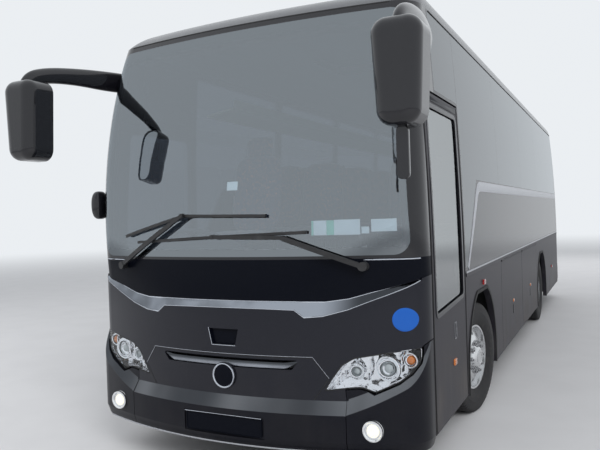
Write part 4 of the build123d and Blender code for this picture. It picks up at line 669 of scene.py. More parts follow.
@dataclass(frozen=True)
class Ground(Finish):
    """A pale studio floor that fades into the backdrop.

    Attributes:
        base: The floor's colour.
        far: The backdrop's colour.
    """

    base: Colour
    far: Colour

    def material(self) -> Material:
        """Makes the material.

        Returns:
            A new material.
        """
        shader = Shader(self.name)
        x, y = shader.along(Axis.X), shader.along(Axis.Y)
        fade = ((x * x + y * y) ** 0.5).ramp(9.0, 34.0)
        stain = shader.noise(2.2, 8.0).ramp(0.35, 0.7) * 0.25
        tone = shader.blend(stain, self.base, tuple(c * 0.86 for c in self.base))
        near = shader.plain(Base_Color=tone, Roughness=0.7)
        away = shader.node("ShaderNodeEmission", {}, {"Color": self.far, "Strength": 1.0})
        return shader.finish(shader.mix(fade, near, away))


BACKDROP = (0.83, 0.86, 0.89)
FLANK = (0.026, 0.0245, 0.031)
FINISHES: dict[str, Finish] = {
    "paint": Paint("anthracite_paint", (0.0095, 0.0102, 0.0155), dust=0.05, coat=0.32, level=0.22),
    "flank_paint": Paint("flank_paint", FLANK, roughness=0.5, coat=0.1, level=0.12),
    # Painted reflection: the bumper's ledges are painted lighter greys.
    "bumper_paint": Paint(
        "bumper_paint", (0.0055, 0.006, 0.0098), dust=0.04, coat=0.12, level=0.14, ledges=True
    ),
    "roof_paint": Paint("roof_paint", (0.04, 0.042, 0.05), dust=0.0),
    "silver": Paint("silver_stripe", (0.3, 0.31, 0.34), 0.4, 0.35, dust=0.1, coat=0.25),
    "panel_black": Paint("panel_black", (0.0015, 0.0022, 0.005), 0.0, 0.3, 0.0, 0.04, 0.05),
    "side_black": Paint("side_black", (0.004, 0.0045, 0.008), 0.0, 0.25, 0.0, 0.3, 0.15),
    "gloss_black": Paint("gloss_black", (0.004, 0.004, 0.006), 0.0, 0.2, dust=0.0, coat=0.6),
    "black_plastic": Plastic("black_plastic", (0.014, 0.014, 0.015), 0.45),
    "grey_plastic": Plastic("grey_plastic", (0.09, 0.09, 0.093), 0.6, worn=(0.12, 0.12, 0.12)),
    "beige_plastic": Plastic("beige_plastic", (0.42, 0.39, 0.32), 0.62, worn=(0.34, 0.31, 0.26)),
    "dash": Plastic("dash_plastic", (0.028, 0.028, 0.031), 0.55, grain=1300.0, depth=0.4),
    "seal": Plastic("seal_rubber", (0.01, 0.01, 0.0105), 0.66, 500.0, worn=(0.03, 0.03, 0.03)),
    "floor_vinyl": Plastic("floor_vinyl", (0.11, 0.11, 0.12), 0.6, 240.0, worn=(0.16, 0.155, 0.15)),
    "paper": Plastic("paper", (0.78, 0.8, 0.77), 0.75, depth=0.05, worn=(0.72, 0.74, 0.7)),
    "green_paper": Plastic(
        "green_paper", (0.25, 0.62, 0.45), 0.75, depth=0.05, worn=(0.3, 0.6, 0.5)
    ),
    "blue_disc": Plastic("blue_disc", (0.0, 0.085, 0.4), 0.4, depth=0.05, worn=(0.0, 0.075, 0.35)),
    "chrome": Metal("chrome", (0.9, 0.91, 0.92), 0.05, 0.04),
    # Painted reflection: the blade's silver stands in for the sky seen on the painted chamfer, and
    # its fade paints the right end darker; blade_edge makes the blade's beads painted highlights.
    "blade": Metal(
        "blade_sky_reflection", (0.36, 0.39, 0.44), 0.16, 0.85, cloud=2.4, fade=(Axis.X, 0.6, 0.86)
    ),
    "blade_edge": Metal("blade_edge", (0.58, 0.61, 0.67), 0.14, 0.1),
    # Painted shade: the scoop's fade paints its upper part darker.
    "scoop": Metal(
        "scoop_silver", (0.42, 0.45, 0.5), 0.24, 0.4, cloud=3.0, fade=(Axis.Z, 0.715, 0.735)
    ),
    "bowl": Metal("lamp_bowl", (0.93, 0.93, 0.94), 0.06, 0.06, cloud=8.0, facets=30.0),
    # Painted highlight: the belt rail is bright only along its top.
    "rail": Rail("belt_rail", (0.46, 0.47, 0.5), FLANK, 1.151),
    "trim": Metal("satin_trim", (0.5, 0.51, 0.54), 0.25, 0.02),
    "rim": Metal("silver_rim", (0.7, 0.71, 0.72), 0.22, 0.12, metallic=0.9, cloud=9.0),
    "nut": Metal("wheel_nut", (0.42, 0.42, 0.43), 0.2, 0.2),
    "chassis": Metal("chassis_paint", (0.03, 0.03, 0.032), 0.5, 0.5, metallic=0.2),
    "engine": Metal("cast_engine", (0.16, 0.16, 0.16), 0.5, 0.6, metallic=0.6),
    "mirror": Metal("mirror_glass", (0.82, 0.84, 0.86), 0.02, 0.0),
    "screen": Pane(
        "windscreen_glass", (0.78, 0.83, 0.87), 0.68, (2.7, 2.78), (1.405, 1.42), (0.86, 0.94, 1.0)
    ),
    "side_glass": Pane("side_glass", (0.2, 0.21, 0.23), 0.6, sheen=(0.95, 0.98, 1.0)),
    "door_glass": Pane("door_glass", (0.5, 0.53, 0.54), 0.85, sheen=(0.96, 0.99, 1.0)),
    "clear": Pane("lamp_cover", (0.95, 0.96, 0.97), 0.3),
    "red_lens": Lens("red_lens", (0.42, 0.008, 0.008)),
    "amber_lens": Lens("amber_lens", (0.75, 0.2, 0.01)),
    "white_lens": Lens("white_lens", (0.75, 0.75, 0.74)),
    "lens_glass": Plastic(
        "lens_glass", (0.42, 0.45, 0.45), 0.05, depth=0.02, worn=(0.3, 0.33, 0.33)
    ),
    "lit_lens": Lens("lit_lens", (1.0, 0.95, 0.74), ribs=420.0, glow=0.9),
    "seat_cloth": Cloth("seat_cloth", (0.035, 0.04, 0.07), (0.3, 0.12, 0.06)),
    "tyre": TyreRubber("tyre_rubber"),
    "ground": Ground("studio_floor", (0.62, 0.62, 0.63), BACKDROP),
}
NODE_FINISH = {
    "arch_lips": "seal", "belt_rails": "rail", "chassis_frame": "chassis",
    "corner_posts": "gloss_black", "dashboard": "dash", "door_arm": "chassis",
    "door_glass": "door_glass", "driver_seat": "seat_cloth", "engine_block": "engine",
    "engine_lid": "paint", "entrance_steps": "floor_vinyl", "floor": "floor_vinyl",
    "fog_lamps": "chrome", "front_axle": "chassis", "front_bumper": "bumper_paint",
    "front_mask": "paint", "grille_panel": "paint", "headlamp_bowls": "bowl",
    "headlamp_covers": "clear", "knuckle_left": "chassis", "knuckle_right": "chassis",
    "luggage_bays": "grey_plastic", "luggage_racks": "beige_plastic", "marker_lamps": "red_lens",
    "mirror_arms": "gloss_black", "mirror_glasses": "mirror", "mirror_heads": "gloss_black",
    "passenger_door": "flank_paint", "passenger_seats": "seat_cloth", "rear_axle": "chassis",
    "rear_bumper": "paint", "rear_wall": "paint", "roof_panel": "roof_paint",
    "roof_unit": "roof_paint", "scuttle_panel": "panel_black", "side_panels": "side_black",
    "side_wall_left": "side_black", "side_wall_right": "side_black", "skirts": "flank_paint",
    "steering_wheel": "dash", "tail_lamps": "red_lens", "wheel_housings": "black_plastic",
    "windows": "side_glass", "windscreen": "screen", "windscreen_frame": "panel_black",
    "wipers": "black_plastic",
}
PREFIX_FINISH = {
    "tyre": "tyre", "rim": "rim", "luggage_flap": "flank_paint", "roof_hatch": "grey_plastic",
}


class Palette:
    """Makes each finish once and dresses pieces with it."""

    def __init__(self) -> None:
        """Starts with no material made."""
        self.made: dict[str, Material] = {}

    def get(self, finish: str) -> Material:
        """Gives a finish's material, made at its first use.

        Args:
            finish: The finish's name.

        Returns:
            The material.
        """
        if finish not in self.made:
            self.made[finish] = FINISHES[finish].material()
        return self.made[finish]

    def dress(self, piece: bpy.types.Object, finish: str) -> None:
        """Puts one finish on a whole piece."""
        piece.data.materials.clear()
        piece.data.materials.append(self.get(finish))

    def dress_nodes(self, nodes: dict[str, bpy.types.Object]) -> None:
        """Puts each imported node's own finish on it.

        Args:
            nodes: The nodes by name.
        """
        for name, node in nodes.items():
            finish = NODE_FINISH.get(name)
            if finish is None:
                finish = next(f for start, f in PREFIX_FINISH.items() if name.startswith(start))
            self.dress(node, finish)
            LOG.info("dressed %s in %s", name, finish)


# Mesh making


def grid(points: np.ndarray) -> Shell:
    """Turns a grid of points into four-sided faces.

    Point (i, j) is joined to (i + 1, j), (i + 1, j + 1) and (i, j + 1).

    Args:
        points: An array of rows by columns by 3.

    Returns:
        The points as a list and the faces' corner numbers.
    """
    rows, columns = points.shape[:2]
    corner = np.arange(rows * columns).reshape(rows, columns)
    faces = np.stack(
        [corner[:-1, :-1], corner[1:, :-1], corner[1:, 1:], corner[:-1, 1:]], axis=-1
    ).reshape(-1, 4)
    return points.reshape(-1, 3), faces


def tidy_mesh(mesh: bpy.types.Mesh) -> None:
    """Merges doubles, drops faces of no area and points the faces outwards.

    Args:
        mesh: The mesh that is changed.
    """
    work = bmesh.new()
    work.from_mesh(mesh)
    bmesh.ops.remove_doubles(work, verts=work.verts, dist=1e-5)
    bmesh.ops.dissolve_degenerate(work, edges=work.edges, dist=1e-6)
    bmesh.ops.recalc_face_normals(work, faces=work.faces)
    work.to_mesh(mesh)
    work.free()


def mesh_piece(
    name: str, shells: list[Shell], smooth: bool = True, crease: float = 35.0
) -> bpy.types.Object:
    """Makes one object from shells, merges doubles and turns the faces outwards.

    Args:
        name: The piece's name.
        shells: Points and faces of each shell.
        smooth: Whether the faces are shaded smooth.
        crease: The angle in degrees past which an edge stays sharp.

    Returns:
        The new object.
    """
    starts = np.cumsum([0] + [len(points) for points, _ in shells])
    points = np.concatenate([p for p, _ in shells])
    faces = [f for (_, part), start in zip(shells, starts) for f in (part + start).tolist()]
    mesh = bpy.data.meshes.new(name)
    mesh.from_pydata(points.tolist(), [], faces)
    tidy_mesh(mesh)
    if smooth:
        mesh.shade_smooth()
        mesh.set_sharp_from_angle(angle=math.radians(crease))
    piece = bpy.data.objects.new(name, mesh)
    bpy.context.scene.collection.objects.link(piece)
    return piece


def unit(vectors: np.ndarray) -> np.ndarray:
    """Divides each vector by its length."""
    return vectors / np.linalg.norm(vectors, axis=-1, keepdims=True)


def points_at(*axes: np.ndarray | float) -> np.ndarray:
    """Puts coordinates together as points, each spread over the largest array among them."""
    return np.stack(np.broadcast_arrays(*axes), axis=-1)


def circle(radius: float, count: int = 32, squash: float = 1.0) -> np.ndarray:
    """Gives count points (r cos t, r squash sin t) round a circle or an oval."""
    turn = np.linspace(0.0, FULL_TURN, count, endpoint=False)
    return points_at(radius * np.cos(turn), radius * squash * np.sin(turn))


def rounded(corners: list[Pair], radius: float, steps: int = 4) -> np.ndarray:
    """Rounds a polygon's corners.

    Each corner becomes the curve (1-t)^2 A + 2t(1-t) C + t^2 B, where A and B lie on the corner's
    two sides, a radius away from the corner C.

    Args:
        corners: The polygon's corners.
        radius: The length cut from each side of a corner.
        steps: Pieces of each curve.

    Returns:
        The outline's points, the first one not repeated.
    """
    apex = np.array(corners, dtype=float)
    before = apex + unit(np.roll(apex, 1, axis=0) - apex) * radius
    after = apex + unit(np.roll(apex, -1, axis=0) - apex) * radius
    t = np.linspace(0.0, 1.0, steps + 1)[None, :, None]
    curve = (1 - t) ** 2 * before[:, None] + 2 * t * (1 - t) * apex[:, None] + t**2 * after[:, None]
    return curve.reshape(-1, 2)


def stroke(corners: list[Pair], count: int = 14) -> np.ndarray:
    """Divides each side of an open line evenly.

    Args:
        corners: The line's corners.
        count: Points on each side.

    Returns:
        The points and the last corner.
    """
    ends = np.array(corners, dtype=float)
    t = np.linspace(0.0, 1.0, count, endpoint=False)[None, :, None]
    path = (ends[:-1, None] * (1 - t) + ends[1:, None] * t).reshape(-1, 2)
    return np.concatenate([path, ends[-1:]])


def rectangle(width: float, height: float, radius: float, centre: Pair = (0.0, 0.0)) -> np.ndarray:
    """Gives a rounded rectangle's outline.

    Args:
        width: Its size across.
        height: Its size along.
        radius: The length cut from each side of a corner.
        centre: Its middle.

    Returns:
        The outline's points.
    """
    u, v = width / 2, height / 2
    corners = [(-u, -v), (u, -v), (u, v), (-u, v)]
    return rounded(corners, radius) + np.array(centre)


def loft(rings: list[np.ndarray]) -> Shell:
    """Joins closed rings of equal count in their order, and closes each ring on itself."""
    stack = np.stack(rings)
    return grid(np.concatenate([stack, stack[:, :1]], axis=1))


def capped(rings: np.ndarray) -> Shell:
    """Joins rings in their order, and closes the first and the last by a point in its middle."""
    ends = [np.repeat(ring.mean(axis=0)[None], len(ring), axis=0) for ring in rings[[0, -1]]]
    return loft([ends[0], *rings, ends[1]])


def drawn_in(outline: np.ndarray, inset: float) -> np.ndarray:
    """Draws an outline in towards its middle.

    Args:
        outline: Points of the outline.
        inset: How far each point goes towards the middle.

    Returns:
        The smaller outline.
    """
    middle = outline.mean(axis=0)
    away = outline - middle
    return middle + away * (1 - inset / np.linalg.norm(away, axis=1, keepdims=True))


def slab(outline: np.ndarray, layers: list[Pair], place: Place) -> Shell:
    """Makes a closed plate from an outline.

    Each layer is the outline drawn in by an inset, at a height. The first and the last layer are
    closed by a point in the middle.

    Args:
        outline: Points of the outline in two directions.
        layers: Inset and height of each layer, from the back to the front.
        place: Turns two directions and a height into points of the frame.

    Returns:
        The plate's shell.
    """
    middle = outline.mean(axis=0) + 0.0 * outline
    rings = [place(*drawn_in(outline, inset).T, height) for inset, height in layers]
    ends = [place(*middle.T, layers[side][1]) for side in (0, -1)]
    return loft([ends[0], *rings, ends[1]])


def flat(height: float = 0.0) -> Place:
    """Gives a placer that lays an outline of X and Y level, above a height."""
    return lambda u, v, out: points_at(u, v, height + out)


def upright(y: float, way: float) -> Place:
    """Gives a placer that stands an outline of X and Z in front of (-1) or behind (1) a Y."""
    return lambda u, v, out: points_at(u, y + way * out, v)


def sweep(
    path: np.ndarray, section: np.ndarray, up: Row = UPWARD, close: bool = False
) -> Shell:
    """Carries a closed section along a path.

    At each point of the path the section lies in the plane of the side, which is the path's
    direction crossed with up, and the lift, which is the side crossed with the direction.

    Args:
        path: Points of the path.
        section: Points in side and lift, one section or one for each point of the path.
        up: The direction that the section's second axis leans to.
        close: Whether the path joins its own start.

    Returns:
        The swept shell, with closed ends if the path is open.
    """
    if close:
        along = np.roll(path, -1, axis=0) - np.roll(path, 1, axis=0)
    else:
        along = np.gradient(path, axis=0)
    along = unit(along)
    side = unit(np.cross(along, np.array(up, dtype=float)))
    lift = np.cross(side, along)
    shape = section if section.ndim == 3 else np.broadcast_to(section, (len(path), *section.shape))
    rings = path[:, None] + shape[..., :1] * side[:, None] + shape[..., 1:] * lift[:, None]
    return loft([*rings, rings[0]]) if close else capped(rings)


def lathe(profile: list[Pair], centre: Row, axis: Row, count: int = 48) -> Shell:
    """Turns a profile of radius and distance along the axis through a full circle.

    Args:
        profile: Radius and distance of each point, closed or from the axis to the axis.
        centre: The point where the distance is 0.
        axis: The axis's direction.
        count: Steps round the circle.

    Returns:
        The turned shell.
    """
    way = unit(np.array(axis, dtype=float))
    helper = np.array(UPWARD if abs(way[2]) < 0.9 else LEFTWARD)
    first = unit(np.cross(helper, way))
    second = np.cross(way, first)
    turn = np.linspace(0.0, FULL_TURN, count + 1)
    spoke = np.cos(turn)[:, None] * first + np.sin(turn)[:, None] * second
    shape = np.array(profile)
    points = np.array(centre) + shape[:, None, :1] * spoke[None] + shape[:, None, 1:] * way
    return grid(points)


def dome(radius: float, bulge: float, count: int) -> list[Pair]:
    """Gives a lens's profile: a quarter oval from the axis to the lens's edge."""
    turn = np.linspace(0.0, math.pi / 2, count)
    return [(float(radius * math.sin(a)), float(bulge * math.cos(a))) for a in turn]


def pad(size: Row, crown: float = 3.2, rows: int = 20, columns: int = 36) -> np.ndarray:
    """Gives a crowned cushion about the origin, flatter than an egg and rounder than a box.

    A point is (a c(u) c(v), b c(u) s(v), h s(u)) where c and s are cosine and sine whose size is
    raised to 2 / crown.

    Args:
        size: Full width, depth and height.
        crown: 2 gives an ellipsoid, more gives fuller corners.
        rows: Steps from the bottom to the top.
        columns: Steps round.

    Returns:
        A grid of points.
    """
    u = np.linspace(-math.pi / 2, math.pi / 2, rows)[:, None]
    v = np.linspace(0.0, FULL_TURN, columns + 1)[None, :]
    power = 2.0 / crown
    soft = 2.0 / 2.3
    full = 0.75

    def bend(wave: np.ndarray, share: float) -> np.ndarray:
        """Raises a wave's size to a power and keeps its sign."""
        return np.sign(wave) * np.abs(wave) ** share

    level = bend(np.cos(u), soft * full)
    x = size[0] / 2 * level * bend(np.cos(v), power)
    y = size[1] / 2 * level * bend(np.sin(v), power)
    return points_at(x, y, size[2] / 2 * bend(np.sin(u), soft))


@dataclass(frozen=True)
class Body:
    """The coach's outside as the part's rows give it.

    Attributes:
        rows: Height, half width, how far the middle stands back, and the bow's radius.
        belt: The height below which the front is upright.
        corner: The radius of the front corners.
    """

    rows: Rows = (
        (1.1, 1.2, 0.03, 2.8), (1.75, 1.19, 0.07, 4.2), (2.33, 1.168, 0.178, 5.6),
        (2.88, 1.13, 0.365, 6.5),
    )
    belt: float = 1.1
    corner: float = 0.18

    def row(self, z: np.ndarray, column: int) -> np.ndarray:
        """Gives one column of the rows at each height."""
        table = np.array(self.rows)
        return np.interp(z, table[:, 0], table[:, column])

    def front(self, x: np.ndarray, z: np.ndarray, out: float = 0.0) -> np.ndarray:
        """Gives points on the front: a wide arc across, and a quarter circle round each corner.

        Args:
            x: Places across.
            z: Heights.
            out: How far in front of the surface.

        Returns:
            The points.
        """
        half, bow = self.row(z, 1), self.row(z, 3)
        back = np.where(z < self.belt, 0.0, self.row(z, 2))
        inner = half - self.corner
        reach = np.sqrt((bow - self.corner) ** 2 - inner**2)
        knee = inner * bow / (bow - self.corner)
        wide = bow - np.sqrt(np.maximum(bow**2 - x**2, 0.0))
        past = np.abs(x) - inner
        tight = bow - reach - np.sqrt(np.maximum(self.corner**2 - past**2, 0.0))
        y = NOSE + back + np.where(np.abs(x) <= knee, wide, tight)
        return points_at(x, y - out, z)

    def on_front(self, x: float = 0.0, z: float = 0.0) -> Place:
        """Gives a placer that lays an outline on the front, about a point."""
        return lambda u, v, out: self.front(x + u, z + v, out)

    def on_side(self, side: float, y: float = 0.0, z: float = 0.0) -> Place:
        """Gives a placer that lays an outline on a side wall, about a point."""
        return lambda u, v, out: self.side(side, y + u, z + v, out)

    def side(self, side: float, y: np.ndarray, z: np.ndarray, out: float = 0.0) -> np.ndarray:
        """Gives points on one side wall.

        Args:
            side: 1 for the left, -1 for the right.
            y: Places along.
            z: Heights.
            out: How far outside the surface.

        Returns:
            The points.
        """
        bulge = 0.0018 * np.sin(np.clip((z - self.belt) / 0.65, 0.0, 1.0) * math.pi)
        half = self.row(z, 1) + bulge
        return points_at(side * (half + out), y, z)


BODY = Body()


@dataclass
class SubAssembly:
    """A group of new pieces.

    Attributes:
        palette: Gives the finishes.
    """

    palette: Palette

    def put(
        self,
        name: str,
        shells: list[Shell],
        finish: str,
        body: str = "body",
        crease: float = 35.0,
        slot: str | None = None,
    ) -> bpy.types.Object:
        """Makes a dressed piece and sets it on its body.

        Args:
            name: The piece's name.
            shells: Its shells.
            finish: Its finish.
            body: The body it rides on.
            crease: The angle past which an edge stays sharp.
            slot: A material slot's name, or None; not used.

        Returns:
            The piece.
        """
        piece = mesh_piece(name, shells, crease=crease)
        self.palette.dress(piece, finish)
        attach(piece, body)
        LOG.info("%s rides on %s in %s", name, body, finish)
        return piece


# Front


@dataclass
class FrontTrim(SubAssembly):
    """Bright blade, badge, plate holder, disc and seams of the front; the blade is a painted
    reflection of the sky on the mask's chamfer, and its beads are painted highlights.

    Attributes:
        blade: X, lower and upper height of the blade's stations on one half.
        badge: Height and radius of the bare round badge.
        disc: X, height and radius of the blue disc.
        plate: Half width, low and high of the plate recess.
        slot: Half width, length of the pointed end, height and lift of the air slot's bar.
        panel: X and height of the grille panel's corners.
        recess: X and height of the hand recess's corners.
        roof_joint: Height of the joint under the roof's front edge.
        seams: Heights of the bright lines at the black panel's top and at the glass's foot.
        edge: Height of the bumper's bright lower edge.
    """

    blade: Rows = (
        (0.0, 1.057, 1.1), (0.16, 1.056, 1.1), (0.32, 1.054, 1.1), (0.47, 1.05, 1.1),
        (0.53, 1.006, 1.1), (0.64, 1.015, 1.1), (0.78, 1.052, 1.117), (0.9, 1.098, 1.149),
        (1.0, 1.135, 1.175), (1.09, 1.171, 1.199), (1.14, 1.195, 1.212), (1.17, 1.214, 1.22),
    )
    badge: Pair = (0.645, 0.08)
    disc: Row = (1.086, 0.995, 0.0675)
    plate: Row = (0.285, 0.29, 0.42)
    slot: Row = (0.486, 0.086, 0.7225, 0.027)
    panel: Rows = (
        (-0.574, 0.531), (-0.662, 0.655), (-0.57, 0.775), (0.57, 0.775), (0.662, 0.655),
        (0.574, 0.531),
    )
    recess: Rows = ((-0.082, 0.832), (0.082, 0.832), (0.105, 0.93), (-0.105, 0.93))
    roof_joint: float = 2.872
    seams: Pair = (1.34, 1.372)
    edge: float = 0.2485

    def blade_shell(self, section: np.ndarray, last: float) -> Shell:
        """Sweeps a section across the chamfer that the part has along the mask's top edge.

        The section at a station runs s from 0 at the lower edge to 1 at the upper edge, and its
        height h stands along the chamfer's normal (0, -rise, back) divided by its length.

        Args:
            section: Points s and h.
            last: X of the strip's ends.

        Returns:
            The strip's shell.
        """
        back, upright_row = 0.03, 0.9
        half = np.array(self.blade)
        stations = np.concatenate([half[::-1] * (-1, 1, 1), half[1:]])
        x, lower, upper = stations.T
        fine = np.unique(np.concatenate([np.linspace(-last, last, 161), x[1:-1]]))
        low, high = np.interp(fine, x, lower), np.interp(fine, x, upper)
        ruled = np.interp(fine, x, BODY.front(x, upright_row)[:, 1])
        ground = np.minimum(ruled, BODY.front(fine, upright_row)[:, 1])
        rise = points_at(0.0, back, high - low)
        foot = points_at(fine, ground, low)
        across = unit(rise)
        normal = points_at(across[:, 0], -across[:, 2], across[:, 1])
        along, out = section[None, :, :1], section[None, :, 1:]
        return capped(foot[:, None] + along * rise[:, None] + out * normal[:, None])

    def blade_shells(self) -> tuple[list[Shell], list[Shell]]:
        """Gives the blade's flat face and its two bright beads: a painted reflection of the sky on
        the painted chamfer, and painted highlights along its edges.

        Returns:
            The shells of the face and of the beads.
        """
        face = np.array([(0.08, -0.002), (0.08, 0.002), (0.3, 0.0026), (0.7, 0.0026),
                         (0.94, 0.002), (0.94, -0.002)])
        beads = [
            np.array([(a, -0.002), (a, 0.0035), (a + w * 0.3, 0.005), (a + w * 0.7, 0.005),
                      (a + w, 0.0035), (a + w, -0.002)])
            for a, w in ((0.0, 0.075), (0.92, 0.08))
        ]
        return [self.blade_shell(face, 1.16)], [self.blade_shell(bead, 1.165) for bead in beads]

    def disc_shell(self) -> Shell:
        """Lays a thin round plate on the mask's corner.

        Returns:
            The disc's shell.
        """
        x, z, radius = self.disc
        front = [(lane, 0.003) for lane in (0.001, 0.012, 0.024, 0.036, 0.048, 0.058)]
        layers = [(0.0, 0.0), (0.0, 0.0024), *front]
        return slab(circle(radius, 48), layers, BODY.on_front(x, z))

    def badge_shells(self) -> tuple[list[Shell], list[Shell]]:
        """Gives the bare badge's ring and its dished field.

        Returns:
            The shells of the ring and of the field.
        """
        height, radius = self.badge
        centre = (0.0, NOSE, height)
        inner, rim = radius - 0.0128, radius - 0.001
        ring = [(inner, 0.011), (inner, 0.015), (radius - 0.009, 0.0185), (radius - 0.004, 0.0175),
                (rim, 0.0125), (rim, 0.009), (inner, 0.011)]
        field = [(0.0, 0.0155), (0.02, 0.0152), (0.045, 0.0145), (inner, 0.0125), (inner, 0.0119),
                 (0.0, 0.0119)]
        return [lathe(ring, centre, FORWARD, 64)], [lathe(field, centre, FORWARD, 64)]

    def plate_shells(self) -> tuple[list[Shell], list[Shell]]:
        """Gives the blank plate with its raised rim, and the bright strip over it.

        Returns:
            The shells of the plate and of the strip.
        """
        half, low, high = self.plate
        outline = rectangle(2 * half - 0.03, high - low - 0.02, 0.012, (0.0, (low + high) / 2))
        layers = [(0.0, 0.0002), (0.0, 0.01), (0.0015, 0.0115), (0.006, 0.0115), (0.008, 0.0075)]
        plate = slab(outline, layers, upright(NOSE - 0.028, -1.0))
        x = np.linspace(-half + 0.012, half - 0.012, 40)
        line = points_at(x, NOSE - 0.041, high - 0.004)
        return [plate], [sweep(line, rectangle(0.012, 0.004, 0.0012))]

    def tray(self) -> Shell:
        """Lines the mask's hand recess with a black cup whose rim lies flush."""
        layers = [(0.0008, -0.019), (0.0008, 0.0006), (0.0035, 0.0006), (0.0045, -0.017)]
        return slab(rounded(list(self.recess), 0.006), layers, BODY.on_front())

    def line(self, corners: list[Pair], wide: float, out: float, thick: float) -> Shell:
        """Follows the front along a line of corners.

        Args:
            corners: X and height of each corner.
            wide: The line's width.
            out: How far its middle stands in front of the surface.
            thick: Its thickness.

        Returns:
            The line's shell.
        """
        path = stroke(corners)
        points = BODY.front(path[:, 0], path[:, 1], out)
        return sweep(points, rectangle(wide, thick, thick * 0.2), up=FORWARD)

    def scoop(self) -> Shell:
        """Lays a rounded bar in the lower half of the air slot, pointed and raised at its ends.

        Returns:
            The bar's shell.
        """
        half, tip, height, lift = self.slot
        x = np.linspace(-half, half, 97)
        end = np.clip((np.abs(x) - (half - tip)) / tip, 0.0, 1.0)
        path = BODY.front(x, height + lift * end, -0.008)
        shape = (1.0 - 0.8 * end)[:, None, None]
        return sweep(path, circle(0.0085, 28)[None] * np.array([1.0, 2.35]) * shape)

    def joint_shells(self) -> list[Shell]:
        """Runs the dark joint round the grille panel and under the roof's front edge.

        Returns:
            Both joints' shells.
        """
        roof = BODY.front(np.linspace(-0.98, 0.98, 90), self.roof_joint, 0.0002)
        panel = self.line(list(self.panel), 0.0045, 0.0, 0.003)
        return [panel, sweep(roof, rectangle(0.004, 0.009, 0.001))]

    def edge_highlight_shells(self) -> list[Shell]:
        """Runs fine bright edges over the grille panel's joint and along the hand recess's left
        side and foot, painted highlights where these edges catch the light.

        Returns:
            Both edges' shells.
        """
        over = [(-0.664, 0.659), (-0.572, 0.7795), (0.572, 0.7795), (0.664, 0.659)]
        recess = [(-0.1085, 0.934), (-0.0845, 0.829), (0.0845, 0.829)]
        return [self.line(over, 0.0024, 0.0004, 0.003), self.line(recess, 0.004, 0.0006, 0.003)]

    def seam_shells(self) -> list[Shell]:
        """Runs a bright line across the black panel's top, and a finer one at the glass's foot.

        Returns:
            Both lines' shells.
        """
        x = np.linspace(-1.165, 1.165, 181)
        top, low = self.seams
        upper = sweep(BODY.front(x, top, 0.002), rectangle(0.008, 0.007, 0.0015))
        foot = sweep(BODY.front(x[15:-15], low, 0.001), rectangle(0.004, 0.004, 0.001))
        return [upper, foot]

    def lower_edge(self) -> Shell:
        """Runs a bright strip along the bumper's lower edge, as far as its corners."""
        base = BODY.front(np.linspace(-1.06, 1.06, 90), self.edge, 0.05)
        return sweep(base, rectangle(0.004, 0.009, 0.001))

    def build(self) -> None:
        """Puts all the front's trim."""
        ring, field = self.badge_shells()
        plate, strip = self.plate_shells()
        face, beads = self.blade_shells()
        put = self.put
        # Painted reflection: a silver strip on the painted chamfer stands in for the sky it
        # reflects, and its beads are painted highlights.
        put("mask_sky_reflection", face, "blade", slot="lamp_chrome")
        put("mask_edge_highlights", beads, "blade_edge", slot="lamp_chrome")
        put("handle_tray", [self.tray()], "panel_black", slot="black_plastic")
        put("grille_scoop", [self.scoop()], "scoop", slot="aluminium_trim")
        put("front_joints", self.joint_shells(), "seal", slot="seal_rubber")
        # Painted highlights: fine bright strips where the grille panel's and the recess's edges
        # catch the light.
        put("front_edge_highlights", self.edge_highlight_shells(), "blade_edge", slot="aluminium_trim")
        put("badge_ring", ring, "blade_edge", slot="lamp_chrome")
        put("badge_field", field, "panel_black", slot="black_gloss")
        put("plate_blank", plate, "panel_black", slot="black_plastic")
        put("plate_strip", strip, "blade_edge", slot="aluminium_trim")
        put("blue_disc", [self.disc_shell()], "blue_disc")
        put("scuttle_line", self.seam_shells(), "blade_edge", slot="aluminium_trim")
        put("bumper_edge", [self.lower_edge()], "trim", slot="aluminium_trim")


